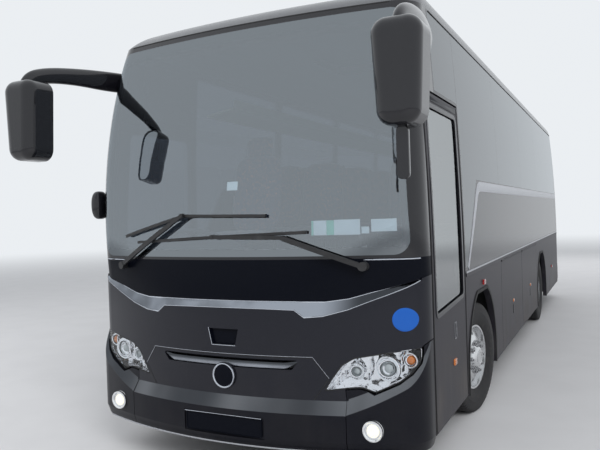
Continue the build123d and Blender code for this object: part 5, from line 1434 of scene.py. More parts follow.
@dataclass
class Headlamp(SubAssembly):
    """What stands inside one headlamp: main projector, inner lamp, amber lamp and ribbed reflector.

    Attributes:
        side: 1 for the left, -1 for the right.
        word: The side's name.
        main: X, height and radius of the main projector.
        inner: X, height and radius of the inner lamp.
        amber: X, height and radius of the amber lamp.
        feet: X and height of each rib.
        opening: X and height of the lamp opening's corners.
    """

    side: float
    word: str
    main: Row = (0.975, 0.705, 0.052)
    inner: Row = (0.802, 0.69, 0.036)
    amber: Row = (1.094, 0.752, 0.034)
    feet: Rows = (
        (0.705, 0.625), (0.725, 0.645), (0.745, 0.665), (0.872, 0.655), (0.884, 0.68),
        (0.89, 0.708), (0.888, 0.736), (1.052, 0.7), (1.055, 0.725), (1.052, 0.752),
    )
    opening: Rows = (
        (0.632, 0.585), (0.684, 0.668), (0.735, 0.738), (0.805, 0.78), (0.948, 0.803),
        (1.16, 0.83), (1.158, 0.745), (1.118, 0.69), (1.05, 0.636), (0.92, 0.576),
        (0.842, 0.606), (0.79, 0.604),
    )

    def depth(self, lamp: Row, back: float) -> Row:
        """Gives a lamp's centre some way behind the body's surface.

        Args:
            lamp: X, height and radius of the lamp.
            back: How far behind the body's surface.

        Returns:
            The lamp's centre.
        """
        x, z, _ = lamp
        y = BODY.front(x, z)[1]
        return (self.side * x, y + back, z)

    def ring(self, lamp: Row, back: float, wide: float) -> Shell:
        """Turns a stepped bright ring round a barrel.

        Args:
            lamp: X, height and radius of the lamp.
            back: How far behind the body's surface.
            wide: The ring's width.

        Returns:
            The ring's shell.
        """
        radius = lamp[2]
        bore = radius + 0.0005
        profile = [
            (bore, 0.0), (bore, 0.008), (radius + 0.004, 0.0115), (radius + 0.008, 0.0105),
            (radius + 0.0095, 0.006), (radius + wide * 0.6, 0.004), (radius + wide * 0.66, 0.0075),
            (radius + wide * 0.86, 0.0075), (radius + wide, 0.0), (radius + wide, -0.006),
            (bore, -0.006), (bore, 0.0),
        ]
        return lathe(profile, self.depth(lamp, back), FORWARD, 64)

    def eye(self, lamp: Row, back: float, share: float, bulge: float) -> Shell:
        """Turns a domed lens.

        Args:
            lamp: X, height and radius of the lamp.
            back: How far behind the body's surface.
            share: The share of the lamp's radius that it fills.
            bulge: Its height.

        Returns:
            The lens's shell.
        """
        reach = lamp[2] * share
        profile = [*dome(reach, bulge, 10), (reach, -0.004), (0.0, -0.004)]
        return lathe(profile, self.depth(lamp, back), FORWARD)

    def cup(self, lamp: Row, back: float) -> Shell:
        """Turns the reflector cup inside a barrel: a rounded funnel with a thin wall.

        Args:
            lamp: X, height and radius of the lamp.
            back: How far behind the body's surface.

        Returns:
            The cup's shell.
        """
        outer, small = lamp[2] - 0.0065, lamp[2] * 0.52
        profile = [
            (outer, 0.0), (outer * 0.96, -0.006), (outer * 0.86, -0.012), (small * 1.15, -0.017),
            (small, -0.018), (small, -0.021), (outer * 0.9, -0.019), (outer, -0.006), (outer, 0.0),
        ]
        return lathe(profile, self.depth(lamp, back), FORWARD)

    def ribs(self) -> list[Shell]:
        """Stands short bright ribs in the bowl's floor between the lamps.

        Returns:
            One shell for each rib.
        """
        rise = np.linspace(-0.012, 0.03, 6)
        shells = []
        for x, z in self.feet:
            y = BODY.front(x, z)[1]
            path = points_at(self.side * x, y + 0.05, z + rise)
            shells.append(sweep(path, rectangle(0.006, 0.05, 0.002), up=REARWARD))
        return shells

    def gasket(self) -> Shell:
        """Runs a black lip round the cover, along the outline of the part's lamp opening.

        Returns:
            The lip's shell.
        """
        outline = drawn_in(rounded(list(self.opening), 0.014, 3), 0.004)
        path = BODY.front(outline[:, 0], outline[:, 1], -0.0015)
        path[:, 0] *= self.side
        return sweep(path, rectangle(0.0075, 0.0045, 0.001), up=FORWARD, close=True)

    def build(self) -> None:
        """Puts the lamp's pieces."""
        put, word, glass = self.put, self.word, "clear_glass"
        bright = [
            self.ring(self.main, 0.05, 0.024), self.ring(self.inner, 0.052, 0.014),
            self.ring(self.amber, 0.052, 0.012), self.cup(self.main, 0.047),
            self.cup(self.inner, 0.049), self.cup(self.amber, 0.049),
        ]
        projector = self.eye(self.main, 0.058, 0.5, 0.014)
        inner = self.eye(self.inner, 0.062, 0.5, 0.012)
        amber = self.eye(self.amber, 0.055, 0.84, 0.02)
        put(f"lamp_rings_{word}", bright, "chrome", slot="lamp_chrome")
        put(f"lamp_ribs_{word}", self.ribs(), "bowl", slot="lamp_chrome")
        put(f"projector_{word}", [projector], "lens_glass", slot=glass)
        put(f"inner_lamp_{word}", [inner], "lens_glass", slot=glass)
        put(f"amber_lamp_{word}", [amber], "amber_lens", slot="lamp_red")
        put(f"lamp_gasket_{word}", [self.gasket()], "seal", slot="seal_rubber")


@dataclass
class FogLamp(SubAssembly):
    """One round fog lamp: bright bezel, warm lit lens and its stepped reflector.

    Attributes:
        side: 1 for the left, -1 for the right.
        word: The side's name.
        place: X, height and radius.
        face: Y of the drum's face.
    """

    side: float
    word: str
    place: Row = (0.92, 0.38, 0.058)
    face: float = NOSE + 0.088

    def build(self) -> None:
        """Puts the fog lamp's pieces."""
        x, z, radius = self.place
        centre = (self.side * x, self.face, z)
        inner, outer, groove = radius - 0.01, radius + 0.0025, radius - 0.0105
        well, edge = radius - 0.021, radius - 0.0215
        bezel = [(inner, 0.0), (inner, 0.008), (radius - 0.005, 0.014), (radius + 0.0015, 0.013),
                 (outer, 0.006), (outer, 0.0), (inner, 0.0)]
        step = [(groove, 0.0002), (groove, 0.004), (radius - 0.018, 0.0055), (well, 0.003),
                (well, 0.0002), (groove, 0.0002)]
        lens = [(float(edge * a), float(0.0075 - 0.004 * a * a)) for a in np.linspace(0.0, 1.0, 8)]
        bright = [lathe(bezel, centre, FORWARD, 64), lathe(step, centre, FORWARD, 64)]
        lit = lathe([*lens, (edge, 0.0003), (0.0, 0.0003)], centre, FORWARD)
        self.put(f"fog_bezel_{self.word}", bright, "chrome", slot="lamp_chrome")
        self.put(f"fog_lens_{self.word}", [lit], "lit_lens", slot="clear_glass")


# Sides


@dataclass
class SideTrim(SubAssembly):
    """Silver stripe, pane joints, flap locks and side lamps of one side.

    Attributes:
        side: 1 for the left, -1 for the right.
        word: The side's name.
        stripe_turn: Y and height where the stripe turns down.
        stripe_foot: Y and height of the stripe's lower end.
        stripe_end: Y of the stripe's rear end.
        half: Half the stripe's width.
        pane: Height of the joints' lower and upper ends.
        roof_seam: Height of the seam under the roof's edge.
        flaps: Y of the luggage flaps' front and rear ends.
        pull_height: Height of a flap's pull handle.
        lamp_height: Height of a side lamp.
    """

    side: float
    word: str
    stripe_turn: Pair = (NOSE + 1.925, 1.79)
    stripe_foot: Pair = (NOSE + 1.435, 1.178)
    stripe_end: float = TAIL - 0.232
    half: float = 0.04
    pane: Pair = (1.845, 2.86)
    roof_seam: float = 2.874
    flaps: Pair = (FRONT_AXLE + 0.97, REAR_AXLE - 0.65)
    pull_height: float = 0.568
    lamp_height: float = 0.655

    def stripe(self) -> Shell:
        """Carries a thin band along the window line and down beside the door's pane.

        The middle line is straight, then a quadratic curve round the turn, then straight to the
        foot. The band narrows from the turn to the foot.

        Returns:
            The stripe's shell.
        """
        turn, foot = np.array(self.stripe_turn), np.array(self.stripe_foot)
        before = turn + (0.1, 0.0)
        slope = unit(foot - turn)
        after = turn + slope * 0.1
        back = np.linspace(np.array([self.stripe_end, turn[1]]), before, 30)
        t = np.linspace(0.0, 1.0, 9)[1:-1, None]
        bend = (1 - t) ** 2 * before + 2 * t * (1 - t) * turn + t**2 * after
        line = np.concatenate([back, bend, np.linspace(after, foot, 14)])
        along = unit(np.gradient(line, axis=0))
        across = points_at(-along[:, 1], along[:, 0])
        reach = np.linalg.norm(line - foot, axis=1) / np.linalg.norm(turn - foot)
        taper = np.clip(0.45 + 0.55 * reach, 0.45, 1.0)
        width = self.half * np.where(line[:, 0] > turn[0], 1.0, taper)
        lanes = np.array([(-1.0, -0.002), (-1.0, 0.0012), (-0.97, 0.002), (0.97, 0.002),
                          (1.0, 0.0012), (1.0, -0.002)])
        points = line[:, None] + lanes[None, :, :1] * (across * width[:, None])[:, None]
        rings = BODY.side(self.side, points[..., 0], points[..., 1])
        rings[..., 0] += self.side * lanes[:, 1]
        return capped(rings)

    def joints(self) -> list[Shell]:
        """Fills the joints between the panes with rubber, and the seam under the roof's edge.

        Returns:
            The shells of the joints and of the seam.
        """
        first, pitch, count = NOSE + 1.35, 1.6, 4
        z = np.linspace(*self.pane, 24)
        shells = []
        for y in first + pitch * np.arange(1, count + 1):
            path = BODY.side(self.side, y, z, -0.0022)
            shells.append(sweep(path, rectangle(0.0052, 0.004, 0.0008), up=LEFTWARD))
        path = BODY.side(self.side, np.linspace(NOSE + 0.75, TAIL - 0.3, 60), self.roof_seam)
        return [*shells, sweep(path, rectangle(0.008, 0.008, 0.002))]

    def lock(self, y: float) -> list[Shell]:
        """Makes a flap's pull handle: a bar on a plate.

        Args:
            y: The handle's place along.

        Returns:
            The shells of the bar and of the plate.
        """
        place = BODY.on_side(self.side, y, self.pull_height)
        bar = [(0.0, -0.009), (0.0, 0.0005), (0.002, 0.002)]
        plate = [(0.0, -0.001), (0.0, 0.0016), (0.001, 0.0022)]
        return [slab(rectangle(0.016, 0.07, 0.006), bar, place),
                slab(rectangle(0.05, 0.094, 0.012), plate, place)]

    def lamp(self, y: float) -> Shell:
        """Makes a flap's small domed side lamp.

        Args:
            y: The lamp's place along.

        Returns:
            The lamp's shell.
        """
        out = 0.008
        layers = [(0.0, -0.002), (0.0, out * 0.55), (0.002, out * 0.8), (0.006, out)]
        place = BODY.on_side(self.side, y, self.lamp_height)
        return slab(rectangle(0.052, 0.03, 0.009), layers, place)

    def build(self) -> None:
        """Puts the side's trim."""
        put = self.put
        first, last = self.flaps
        pitch = (last - first) / 2
        put(f"stripe_{self.word}", [self.stripe()], "silver", slot="aluminium_trim")
        put(f"pane_joints_{self.word}", self.joints(), "seal", slot="seal_rubber")
        for index in (1, 2):
            end = f"{self.word}_{index}"
            y = first + pitch * (index - 0.5)
            body = f"luggage_flap_{end}"
            pull, lamp = self.lock(y), [self.lamp(y)]
            put(f"flap_pull_{end}", pull, "panel_black", body, slot="black_plastic")
            put(f"flap_marker_{end}", lamp, "amber_lens", body, slot="lamp_red")


@dataclass
class DoorTrim(SubAssembly):
    """Handle, marker, seals and glass frame of the passenger door.

    Attributes:
        front: Y of the door's front edge.
        rear: Y of its rear edge.
        low: Its lowest height.
        high: Its highest height.
        grip: Y, low and high of the handle.
        slot_height: Height of the black slot's middle.
        marker_spot: Y and height of the side lamp.
    """

    front: float = NOSE + 0.405
    rear: float = NOSE + 1.315
    low: float = 0.285
    high: float = 2.33
    grip: Row = (NOSE + 0.956, 0.768, 0.854)
    slot_height: float = 2.297
    marker_spot: Pair = (NOSE + 0.92, 0.61)

    def seals(self) -> list[Shell]:
        """Runs a rubber bead just inside the door's front and rear edges.

        Returns:
            Both beads' shells.
        """
        z = np.linspace(self.low + 0.01, self.high - 0.01, 60)
        shells = []
        for y in (self.front + 0.009, self.rear - 0.009):
            path = BODY.side(LEFT, y, z, 0.0005)
            shells.append(sweep(path, rectangle(0.016, 0.007, 0.003), up=LEFTWARD))
        return shells

    def glass_frame(self) -> Shell:
        """Runs a grey band round the door's glass, on its outline.

        Returns:
            The band's shell.
        """
        a, b, top = self.front + 0.075, self.rear - 0.075, self.high - 0.08
        outline = rounded([(a, 0.97), (b, 1.01), (b, top), (a, top)], 0.05, 5)
        steps = np.linspace(0.0, 1.0, 8, endpoint=False)[None, :, None]
        onward = np.roll(outline, -1, axis=0)
        dense = (outline[:, None] * (1 - steps) + onward[:, None] * steps).reshape(-1, 2)
        path = BODY.side(LEFT, dense[:, 0], dense[:, 1], 0.0022)
        return sweep(path, rectangle(0.03, 0.0036, 0.001), up=LEFTWARD, close=True)

    def handle(self) -> list[Shell]:
        """Puts a bar and a key barrel on the handle's plate.

        Returns:
            The shells of the bar, the barrel and the plate.
        """
        y, low, high = self.grip
        middle = (low + high) / 2
        place = BODY.on_side(LEFT, y)
        bar = rectangle(0.02, high - low, 0.007, (-0.011, middle))
        key = circle(0.008, 20) + np.array((0.013, 0.785))
        plate = rectangle(0.056, 0.106, 0.01, (0.0, middle))
        return [
            slab(bar, [(0.0, -0.0135), (0.0, -0.001), (0.003, 0.001)], place),
            slab(key, [(0.0, -0.0135), (0.0, -0.008), (0.001, -0.007)], place),
            slab(plate, [(0.0, -0.001), (0.0, 0.0016), (0.001, 0.0024)], place),
        ]

    def handle_rim(self) -> Shell:
        """Runs a fine grey rim round the handle's plate.

        Returns:
            The rim's shell.
        """
        y, low, high = self.grip
        outline = rectangle(0.056, 0.106, 0.01, (y, (low + high) / 2))
        path = BODY.side(LEFT, outline[:, 0], outline[:, 1], 0.002)
        return sweep(path, rectangle(0.004, 0.004, 0.0008), up=LEFTWARD, close=True)

    def header(self) -> Shell:
        """Lays the black slot over the door's glass.

        Returns:
            The slot's shell.
        """
        middle = ((self.front + self.rear) / 2, self.slot_height)
        outline = rectangle(self.rear - self.front - 0.075, 0.036, 0.008, middle)
        return slab(outline, [(0.0, -0.001), (0.0, 0.003), (0.001, 0.0035)], BODY.on_side(LEFT))

    def marker(self) -> Shell:
        """Makes the door's amber side lamp."""
        layers = [(0.0, -0.002), (0.0, 0.006), (0.002, 0.009), (0.006, 0.0105)]
        return slab(rectangle(0.06, 0.042, 0.009), layers, BODY.on_side(LEFT, *self.marker_spot))

    def build(self) -> None:
        """Puts the door's pieces."""
        put = self.put
        put("door_seals", self.seals(), "seal", "door", slot="seal_rubber")
        put("door_glass_frame", [self.glass_frame()], "side_black", "door", slot="black_gloss")
        put("door_handle_rim", [self.handle_rim()], "trim", "door", slot="aluminium_trim")
        put("door_handle", self.handle(), "panel_black", "door", slot="black_plastic")
        put("door_header", [self.header()], "panel_black", "door", slot="black_plastic")
        put("door_marker", [self.marker()], "amber_lens", "door", slot="lamp_red")


# Wheels


@dataclass
class Wheel(SubAssembly):
    """One wheel position: its tyre or twin tyres, nuts and hub ring.

    Attributes:
        word: The wheel's name.
        body: The body it rides on.
        side: 1 for the left, -1 for the right.
        front: Whether it is a steered front wheel.
        width: The tyre's width.
        steer: Degrees that a front wheel is turned at rest.
        kingpin: Distance of a kingpin from the coach's middle.
        track: Distance of a wheel's middle from the coach's middle.
        teeth: Steps round the tread.
    """

    word: str
    body: str
    side: float
    front: bool
    width: float = 0.265
    steer: float = -9.0
    kingpin: float = 0.88
    track: float = 1.0335
    teeth: int = 72

    def plane(self) -> tuple[np.ndarray, np.ndarray]:
        """Gives the wheel's middle and its outward direction, turned about the kingpin in front.

        Returns:
            The middle and the outward direction.
        """
        turn = math.radians(self.steer) if self.front else 0.0
        outward = np.array([self.side * math.cos(turn), self.side * math.sin(turn), 0.0])
        axle = FRONT_AXLE if self.front else REAR_AXLE
        pin = self.kingpin if self.front else self.track
        middle = np.array([self.side * pin, axle, AXLE_HEIGHT])
        return middle + (self.track - pin) * outward, outward

    def tyre(self, shift: float) -> Shell:
        """Turns the tyre's section, with its tread grooves cut by a wave round the shoulder.

        The radius of a point is that of the section, less the depth of a block groove on each
        fourth step round the wheel, where the point lies on the tread's outer ribs.

        Args:
            shift: The tyre's place along the axle from the wheel's middle.

        Returns:
            The tyre's shell.
        """
        groove, depth = 0.4225, 0.0075
        wall = [
            (0.1, 0.2525), (0.108, 0.262), (0.112, 0.266), (0.1145, 0.272), (0.1225, 0.29),
            (0.128, 0.305), (0.1315, 0.325), (self.width / 2, 0.337), (0.1322, 0.35),
            (0.1328, 0.3515), (0.1322, 0.353), (0.1305, 0.372), (0.1268, 0.393), (0.1235, 0.408),
            (0.1215, 0.4165), (0.1165, 0.4245), (0.11, 0.4285), (0.095, 0.4305), (0.081, 0.4318),
            (0.0795, groove), (0.0735, groove), (0.072, 0.4323), (0.05, 0.4328), (0.0335, 0.4329),
            (0.032, groove), (0.026, groove), (0.0245, 0.433), (0.0, 0.433),
        ]
        mirrored = [(-w, r) for w, r in reversed(wall[:-1])]
        inner = [(-0.094, 0.2525), (-0.094, 0.262), (-0.1, 0.3), (-0.09, 0.4), (0.09, 0.4),
                 (0.1, 0.3), (0.094, 0.262), (0.094, 0.2525), (0.1, 0.2525)]
        section = np.array([*wall, *mirrored, *inner])
        count = self.teeth * 4
        turn = np.linspace(0.0, FULL_TURN, count + 1)
        across = section[:, 0][:, None]
        radius = section[:, 1][:, None] * np.ones((1, count + 1))
        phase = np.where(across > 0, 0, 2)
        tooth = ((np.arange(count + 1)[None, :] + phase) % 4) == 0
        outer_rib = (np.abs(across) > 0.0815) & (np.abs(across) < 0.122) & (radius > 0.41)
        radius = radius - np.where(tooth & outer_rib, depth, 0.0)
        middle, outward = self.plane()
        first = np.cross(np.array(UPWARD), outward)
        spoke = np.cos(turn)[:, None] * first + np.sin(turn)[:, None] * np.array(UPWARD)
        points = middle + (across + shift)[..., None] * outward + radius[..., None] * spoke[None]
        return grid(points)

    def nuts(self, count: int, ring: float, base: float) -> list[Shell]:
        """Stands domed six-sided nuts on a ring of the hub's face.

        Args:
            count: How many.
            ring: The radius of their circle.
            base: The face's place along the axle.

        Returns:
            One shell for each nut.
        """
        collar = [(0.0, 0.0), (0.0185, 0.0), (0.0185, 0.003), (0.0165, 0.0045), (0.0, 0.0045)]
        head = [(0.0, 0.0045), (0.0155, 0.0045), (0.0155, 0.02), (0.0125, 0.0235),
                (0.008, 0.0245), (0.0075, 0.031), (0.0, 0.032)]
        middle, outward = self.plane()
        up = np.array(UPWARD)
        first = np.cross(up, outward)
        shells = []
        for index in range(count):
            angle = FULL_TURN * index / count
            spot = middle + ring * (math.cos(angle) * first + math.sin(angle) * up)
            centre = tuple(spot + outward * base)
            shells += [lathe(collar, centre, tuple(outward), 18),
                       lathe(head, centre, tuple(outward), 6)]
        return shells

    def ring(self, radius: float, base: float) -> Shell:
        """Turns a rounded bright ring on the disc's face.

        Args:
            radius: The ring's radius.
            base: The face's place along the axle.

        Returns:
            The ring's shell.
        """
        wide, tall = 0.006, 0.004
        middle, outward = self.plane()
        inner, outer, shoulder, top = radius - wide, radius + wide, base + tall * 0.7, base + tall
        profile = [
            (inner, base), (inner, shoulder), (radius - wide * 0.7, top),
            (radius + wide * 0.7, top), (outer, shoulder), (outer, base), (inner, base),
        ]
        return lathe(profile, tuple(middle), tuple(outward), 72)

    def build(self) -> None:
        """Puts the tyre, the nuts and the rings."""
        if self.front:
            node = f"tyre_front_{self.word}"
            tyres = [self.tyre(0.0)]
            nuts = self.nuts(10, 0.1155, 0.1122)
            rings = [self.ring(0.0845, 0.1122), self.ring(0.048, 0.1462)]
        else:
            node = f"tyres_rear_{self.word}"
            tyres = [self.tyre(0.0), self.tyre(-0.299)]
            nuts = self.nuts(10, 0.1335, -0.1118)
            rings = [self.ring(0.07, 0.0362)]
        put, body = self.put, self.body
        tyre = put(f"{node}_tread", tyres, "tyre", body, crease=28.0, slot="tyre_rubber")
        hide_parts(node)
        put(f"{body}_nuts", nuts, "nut", body, slot="rim_silver")
        put(f"{body}_rings", rings, "rim", body, slot="rim_silver")


# Inside


@dataclass
class Seats(SubAssembly):
    """Driver's and passengers' seats: crowned cushions with sewn channels on dark shells.

    Attributes:
        floor: Height of the cabin floor.
        first: Y of the first row.
        pitch: Distance between rows.
        rows: The number of rows.
        inner: Inner edge of a pair.
        outer: Outer edge of a pair.
        driver: X and Y of the driver's seat.
        lean: Degrees that a passenger's backrest leans back.
    """

    floor: float = 1.05
    first: float = NOSE + 2.08
    pitch: float = 0.78
    rows: int = 9
    inner: float = 0.235
    outer: float = 1.125
    driver: Pair = (-0.56, NOSE + 1.18)
    lean: float = 10.2

    def channels(self, points: np.ndarray, across: int, step: float, depth: float) -> np.ndarray:
        """Presses sewn channels into a pad's upper side.

        The pressed depth at distance d from a seam is depth times exp(-(d / seam)^2), and fades
        out over the pad's side.

        Args:
            points: The pad's points.
            across: The axis that the seams follow each other along.
            step: Distance between seams.
            depth: Depth of a seam.

        Returns:
            The pressed points.
        """
        seam, fade = 0.006, 0.03
        d = np.abs((points[..., across] / step + 0.5) % 1.0 - 0.5) * step
        dent = depth * np.exp(-((d / seam) ** 2)) * np.clip(points[..., 2] / fade, 0.0, 1.0)
        pressed = points.copy()
        pressed[..., 2] -= dent
        return pressed

    def cushion(self, width: float, depth: float, tall: float, spot: Row) -> Shell:
        """Sets a seat cushion with its channels running forward."""
        points = self.channels(pad((width, depth, tall), 5.0, 24, 60), 0, width / 4, 0.006)
        return grid(points + np.array(spot))

    def backrest(
        self, width: float, length: float, thick: float, foot: Row, lean: float
    ) -> Shell:
        """Sets a backrest: a pad stood up, leant back, and bowed forward at the small of the back.

        Args:
            width: Its width.
            length: Its length along the lean.
            thick: Its thickness.
            foot: The middle of its lower edge.
            lean: Degrees backwards from upright.

        Returns:
            The backrest's shell.
        """
        points = self.channels(pad((width, length, thick), 5.0, 24, 60), 1, length / 5, 0.005)
        x, v, w = points[..., 0], points[..., 1] + length / 2, points[..., 2]
        w = w + 0.012 * np.sin(np.clip(v / length, 0.0, 1.0) * math.pi)
        a = math.radians(lean)
        y = -w * math.cos(a) + v * math.sin(a)
        z = w * math.sin(a) + v * math.cos(a)
        return grid(points_at(x, y, z) + np.array(foot))

    def sew(self, name: str, pads: list[Shell], fill: float, node: str) -> None:
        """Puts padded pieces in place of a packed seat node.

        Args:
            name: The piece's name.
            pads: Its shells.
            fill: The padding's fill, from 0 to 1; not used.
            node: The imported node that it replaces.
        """
        piece = self.put(name, pads, "seat_cloth", crease=80.0, slot="seat_fabric")
        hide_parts(node)

    def passengers(self) -> None:
        """Puts all the rows of passenger seats."""
        cushions, backs, shells = [], [], []
        width = (self.outer - self.inner) / 2
        for row in range(self.rows):
            y = self.first + row * self.pitch
            for side in (LEFT, RIGHT):
                for place in (0.5, 1.5):
                    x = side * (self.inner + place * width)
                    seat = (x, y + 0.212, self.floor + 0.395)
                    foot = (x, y + 0.447, self.floor + 0.45)
                    cushions.append(self.cushion(width - 0.012, 0.42, 0.105, seat))
                    backs.append(self.backrest(width - 0.016, 0.63, 0.075, foot, self.lean))
                shells += self.frame(side, y)
        self.sew("passenger_cushions", cushions, 0.6, "passenger_seats")
        self.sew("passenger_backs", backs, 0.6, "passenger_seats")
        frames = self.put("passenger_frames", shells, "grey_plastic", slot="black_plastic")
        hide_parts("passenger_seats")

    def frame(self, side: float, y: float) -> list[Shell]:
        """Makes one pair's under-frame, legs and back shell.

        Args:
            side: 1 for the left, -1 for the right.
            y: The row's place along.

        Returns:
            The shells of the tray, the legs and the back shell.
        """
        width = self.outer - self.inner
        x = side * (self.inner + self.outer) / 2
        level = flat(self.floor)
        tray = rectangle(width - 0.02, 0.36, 0.03, (x, y + 0.22))
        legs = [rectangle(0.05, 0.22, 0.01, (x + way * width * 0.3, y + 0.21)) for way in (-1, 1)]
        a = math.radians(self.lean)
        t = np.linspace(0.0, 0.6, 8)
        z = self.floor + 0.45 + t * math.cos(a)
        path = points_at(x, y + 0.497 + t * math.sin(a), z)
        return [
            slab(tray, [(0.004, 0.322), (0.0, 0.326), (0.0, 0.34)], level),
            *(slab(leg, [(0.0, 0.0005), (0.0, 0.323)], level) for leg in legs),
            sweep(path, rectangle(width - 0.03, 0.008, 0.003), up=REARWARD),
        ]

    def drivers(self) -> None:
        """Puts the driver's seat."""
        x, y = self.driver
        cushion = self.cushion(0.475, 0.47, 0.115, (x, y - 0.01, self.floor + 0.392))
        back = self.backrest(0.455, 0.65, 0.085, (x, y + 0.215, self.floor + 0.43), 10.0)
        head = self.backrest(0.25, 0.18, 0.07, (x, y + 0.34, self.floor + 1.06), 9.5)
        layers = [(0.0, 0.0005), (0.0, 0.05), (0.03, 0.07), (0.05, 0.2), (0.03, 0.3), (0.0, 0.334)]
        base = slab(rectangle(0.34, 0.36, 0.03, (x, y)), layers, flat(self.floor))
        for name, padding in (("cushion", cushion), ("backrest", back), ("headrest", head)):
            self.sew(f"driver_{name}", [padding], 0.65, "driver_seat")
        foot = self.put("driver_seat_base", [base], "black_plastic", slot="black_plastic")
        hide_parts("driver_seat")

    def build(self) -> None:
        """Puts all the seats."""
        self.passengers()
        self.drivers()


@dataclass
class CabDetails(SubAssembly):
    """Instrument hood, papers behind the windscreen and the steering wheel's boss.

    Attributes:
        hub: The steering wheel's middle.
        rake: Degrees that the steering column leans.
        dash_top: Height of the dashboard's top.
        papers: X and height limits of each white card.
        slips: X and height limits of each green card.
        sensor: X and height limits of the sensor's cover.
    """

    hub: Row = (-0.56, NOSE + 0.65, 1.42)
    rake: float = 28.0
    dash_top: float = 1.345
    papers: tuple = (
        ((0.578, 0.655), (1.486, 1.572)), ((0.7, 0.85), (1.485, 1.574)),
        ((0.857, 0.9), (1.49, 1.53)), ((0.912, 1.052), (1.5, 1.572)),
        ((0.004, 0.08), (1.775, 1.829)),
    )
    slips: tuple = (((0.565, 0.577), (1.485, 1.572)), ((0.656, 0.699), (1.486, 1.572)))
    sensor: tuple = ((0.02, 0.066), (1.742, 1.773))

    def hood(self) -> Shell:
        """Lofts the instrument hood: a half oval across, high at its rear and low to the screen.

        Returns:
            The hood's shell.
        """
        y = np.linspace(NOSE + 0.2, NOSE + 0.53, 12)
        t = (y - y[0]) / (y[-1] - y[0])
        tall = 0.015 + 0.125 * np.sin(np.clip(t * 1.25, 0.0, 1.0) * math.pi / 2) ** 1.5
        wide = 0.42 + 0.08 * (1 - t)
        turn = np.linspace(0.0, math.pi, 25)
        across, tip = np.cos(turn), np.abs(np.sin(turn))[None]
        x = self.hub[0] + wide[:, None] * np.sign(across) * np.abs(across)[None] ** 0.7
        z = self.dash_top - 0.012 + tall[:, None] * tip**0.6
        top = points_at(x, y[:, None], z)
        floor = points_at(self.hub[0], y[:, None], self.dash_top - 0.03)
        return capped(np.concatenate([top, floor], axis=1))

    def card(self, x: Pair, z: Pair) -> Shell:
        """Stands a thin card just behind the windscreen.

        Args:
            x: Its limits across.
            z: Its limits in height.

        Returns:
            The card's shell.
        """
        u = np.linspace(*x, 12)[None, :]
        v = np.linspace(*z, 4)[:, None]
        front, back = BODY.front(u, v, -0.016), BODY.front(u, v, -0.0168)
        rings = np.concatenate([front, back[:, ::-1]], axis=1)
        ends = [np.concatenate([front[row], front[row, ::-1]])[None] for row in (0, -1)]
        return loft(list(np.concatenate([ends[0], rings, ends[1]])))

    def build(self) -> None:
        """Puts the cab's details."""
        put = self.put
        papers = [self.card(*limits) for limits in self.papers]
        slips = [self.card(*limits) for limits in self.slips]
        rake = math.radians(self.rake)
        profile = [(0.0, 0.0125), (0.04, 0.0125), (0.058, 0.0122), (0.058, 0.018), (0.05, 0.024),
                   (0.02, 0.027), (0.0, 0.0275)]
        boss = lathe(profile, self.hub, (0.0, math.sin(rake), math.cos(rake)), 40)
        put("instrument_hood", [self.hood()], "dash", slot="dash_plastic")
        put("cab_papers", papers, "paper")
        put("screen_sensor", [self.card(*self.sensor)], "panel_black", slot="black_plastic")
        put("cab_green_papers", slips, "green_paper")
        put("steering_boss", [boss], "black_plastic", "steering_wheel", slot="dash_plastic")


@dataclass
class MirrorArms(SubAssembly):
    """Both thick mirror arms, and the flat bracket that hangs under the left head.

    Attributes:
        stations: X, Y, height, half width and half depth at each station of the left arm.
        cuts: How many times the line's corners are cut.
        bracket: Middle X and Z, width, height, front Y and thickness of the bracket.
    """

    stations: Rows = (
        (1.115, NOSE + 0.74, 2.655, 0.028, 0.066), (1.165, NOSE + 0.6, 2.658, 0.034, 0.074),
        (1.205, NOSE + 0.37, 2.648, 0.034, 0.074), (1.24, NOSE + 0.12, 2.64, 0.033, 0.06),
        (1.258, NOSE - 0.13, 2.61, 0.033, 0.052), (1.258, NOSE - 0.295, 2.555, 0.032, 0.048),
        (1.258, NOSE - 0.33, 2.42, 0.03, 0.043),
    )
    cuts: int = 4
    bracket: Row = (1.258, 1.895, 0.062, 0.26, NOSE - 0.3, 0.03)

    def arm(self, side: float) -> Shell:
        """Sweeps an oval that changes along the stations.

        A cut puts two points a quarter and three quarters along each side in place of its corners.

        Args:
            side: 1 for the left, -1 for the right.

        Returns:
            The arm's shell.
        """
        rows = np.array(self.stations) * (side, 1.0, 1.0, 1.0, 1.0)
        for _ in range(self.cuts):
            first, second = (rows[:-1] * (1 - t) + rows[1:] * t for t in (0.25, 0.75))
            inner = np.stack([first, second], axis=1).reshape(-1, rows.shape[1])
            rows = np.concatenate([rows[:1], inner, rows[-1:]])
        return sweep(rows[:, :3], circle(1.0, 32)[None] * rows[:, None, 3:])

    def build(self) -> None:
        """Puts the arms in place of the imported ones."""
        x, z, wide, high, front, thick = self.bracket
        layers = [(0.004, 0.0), (0.0, 0.004), (0.0, thick - 0.004), (0.004, thick)]
        plate = slab(rectangle(wide, high, 0.03, (x, z)), layers, upright(front, 1.0))
        shells = [self.arm(LEFT), self.arm(RIGHT), plate]
        arms = self.put("mirror_arm_pair", shells, "gloss_black", slot="black_gloss")
        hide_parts("mirror_arms")


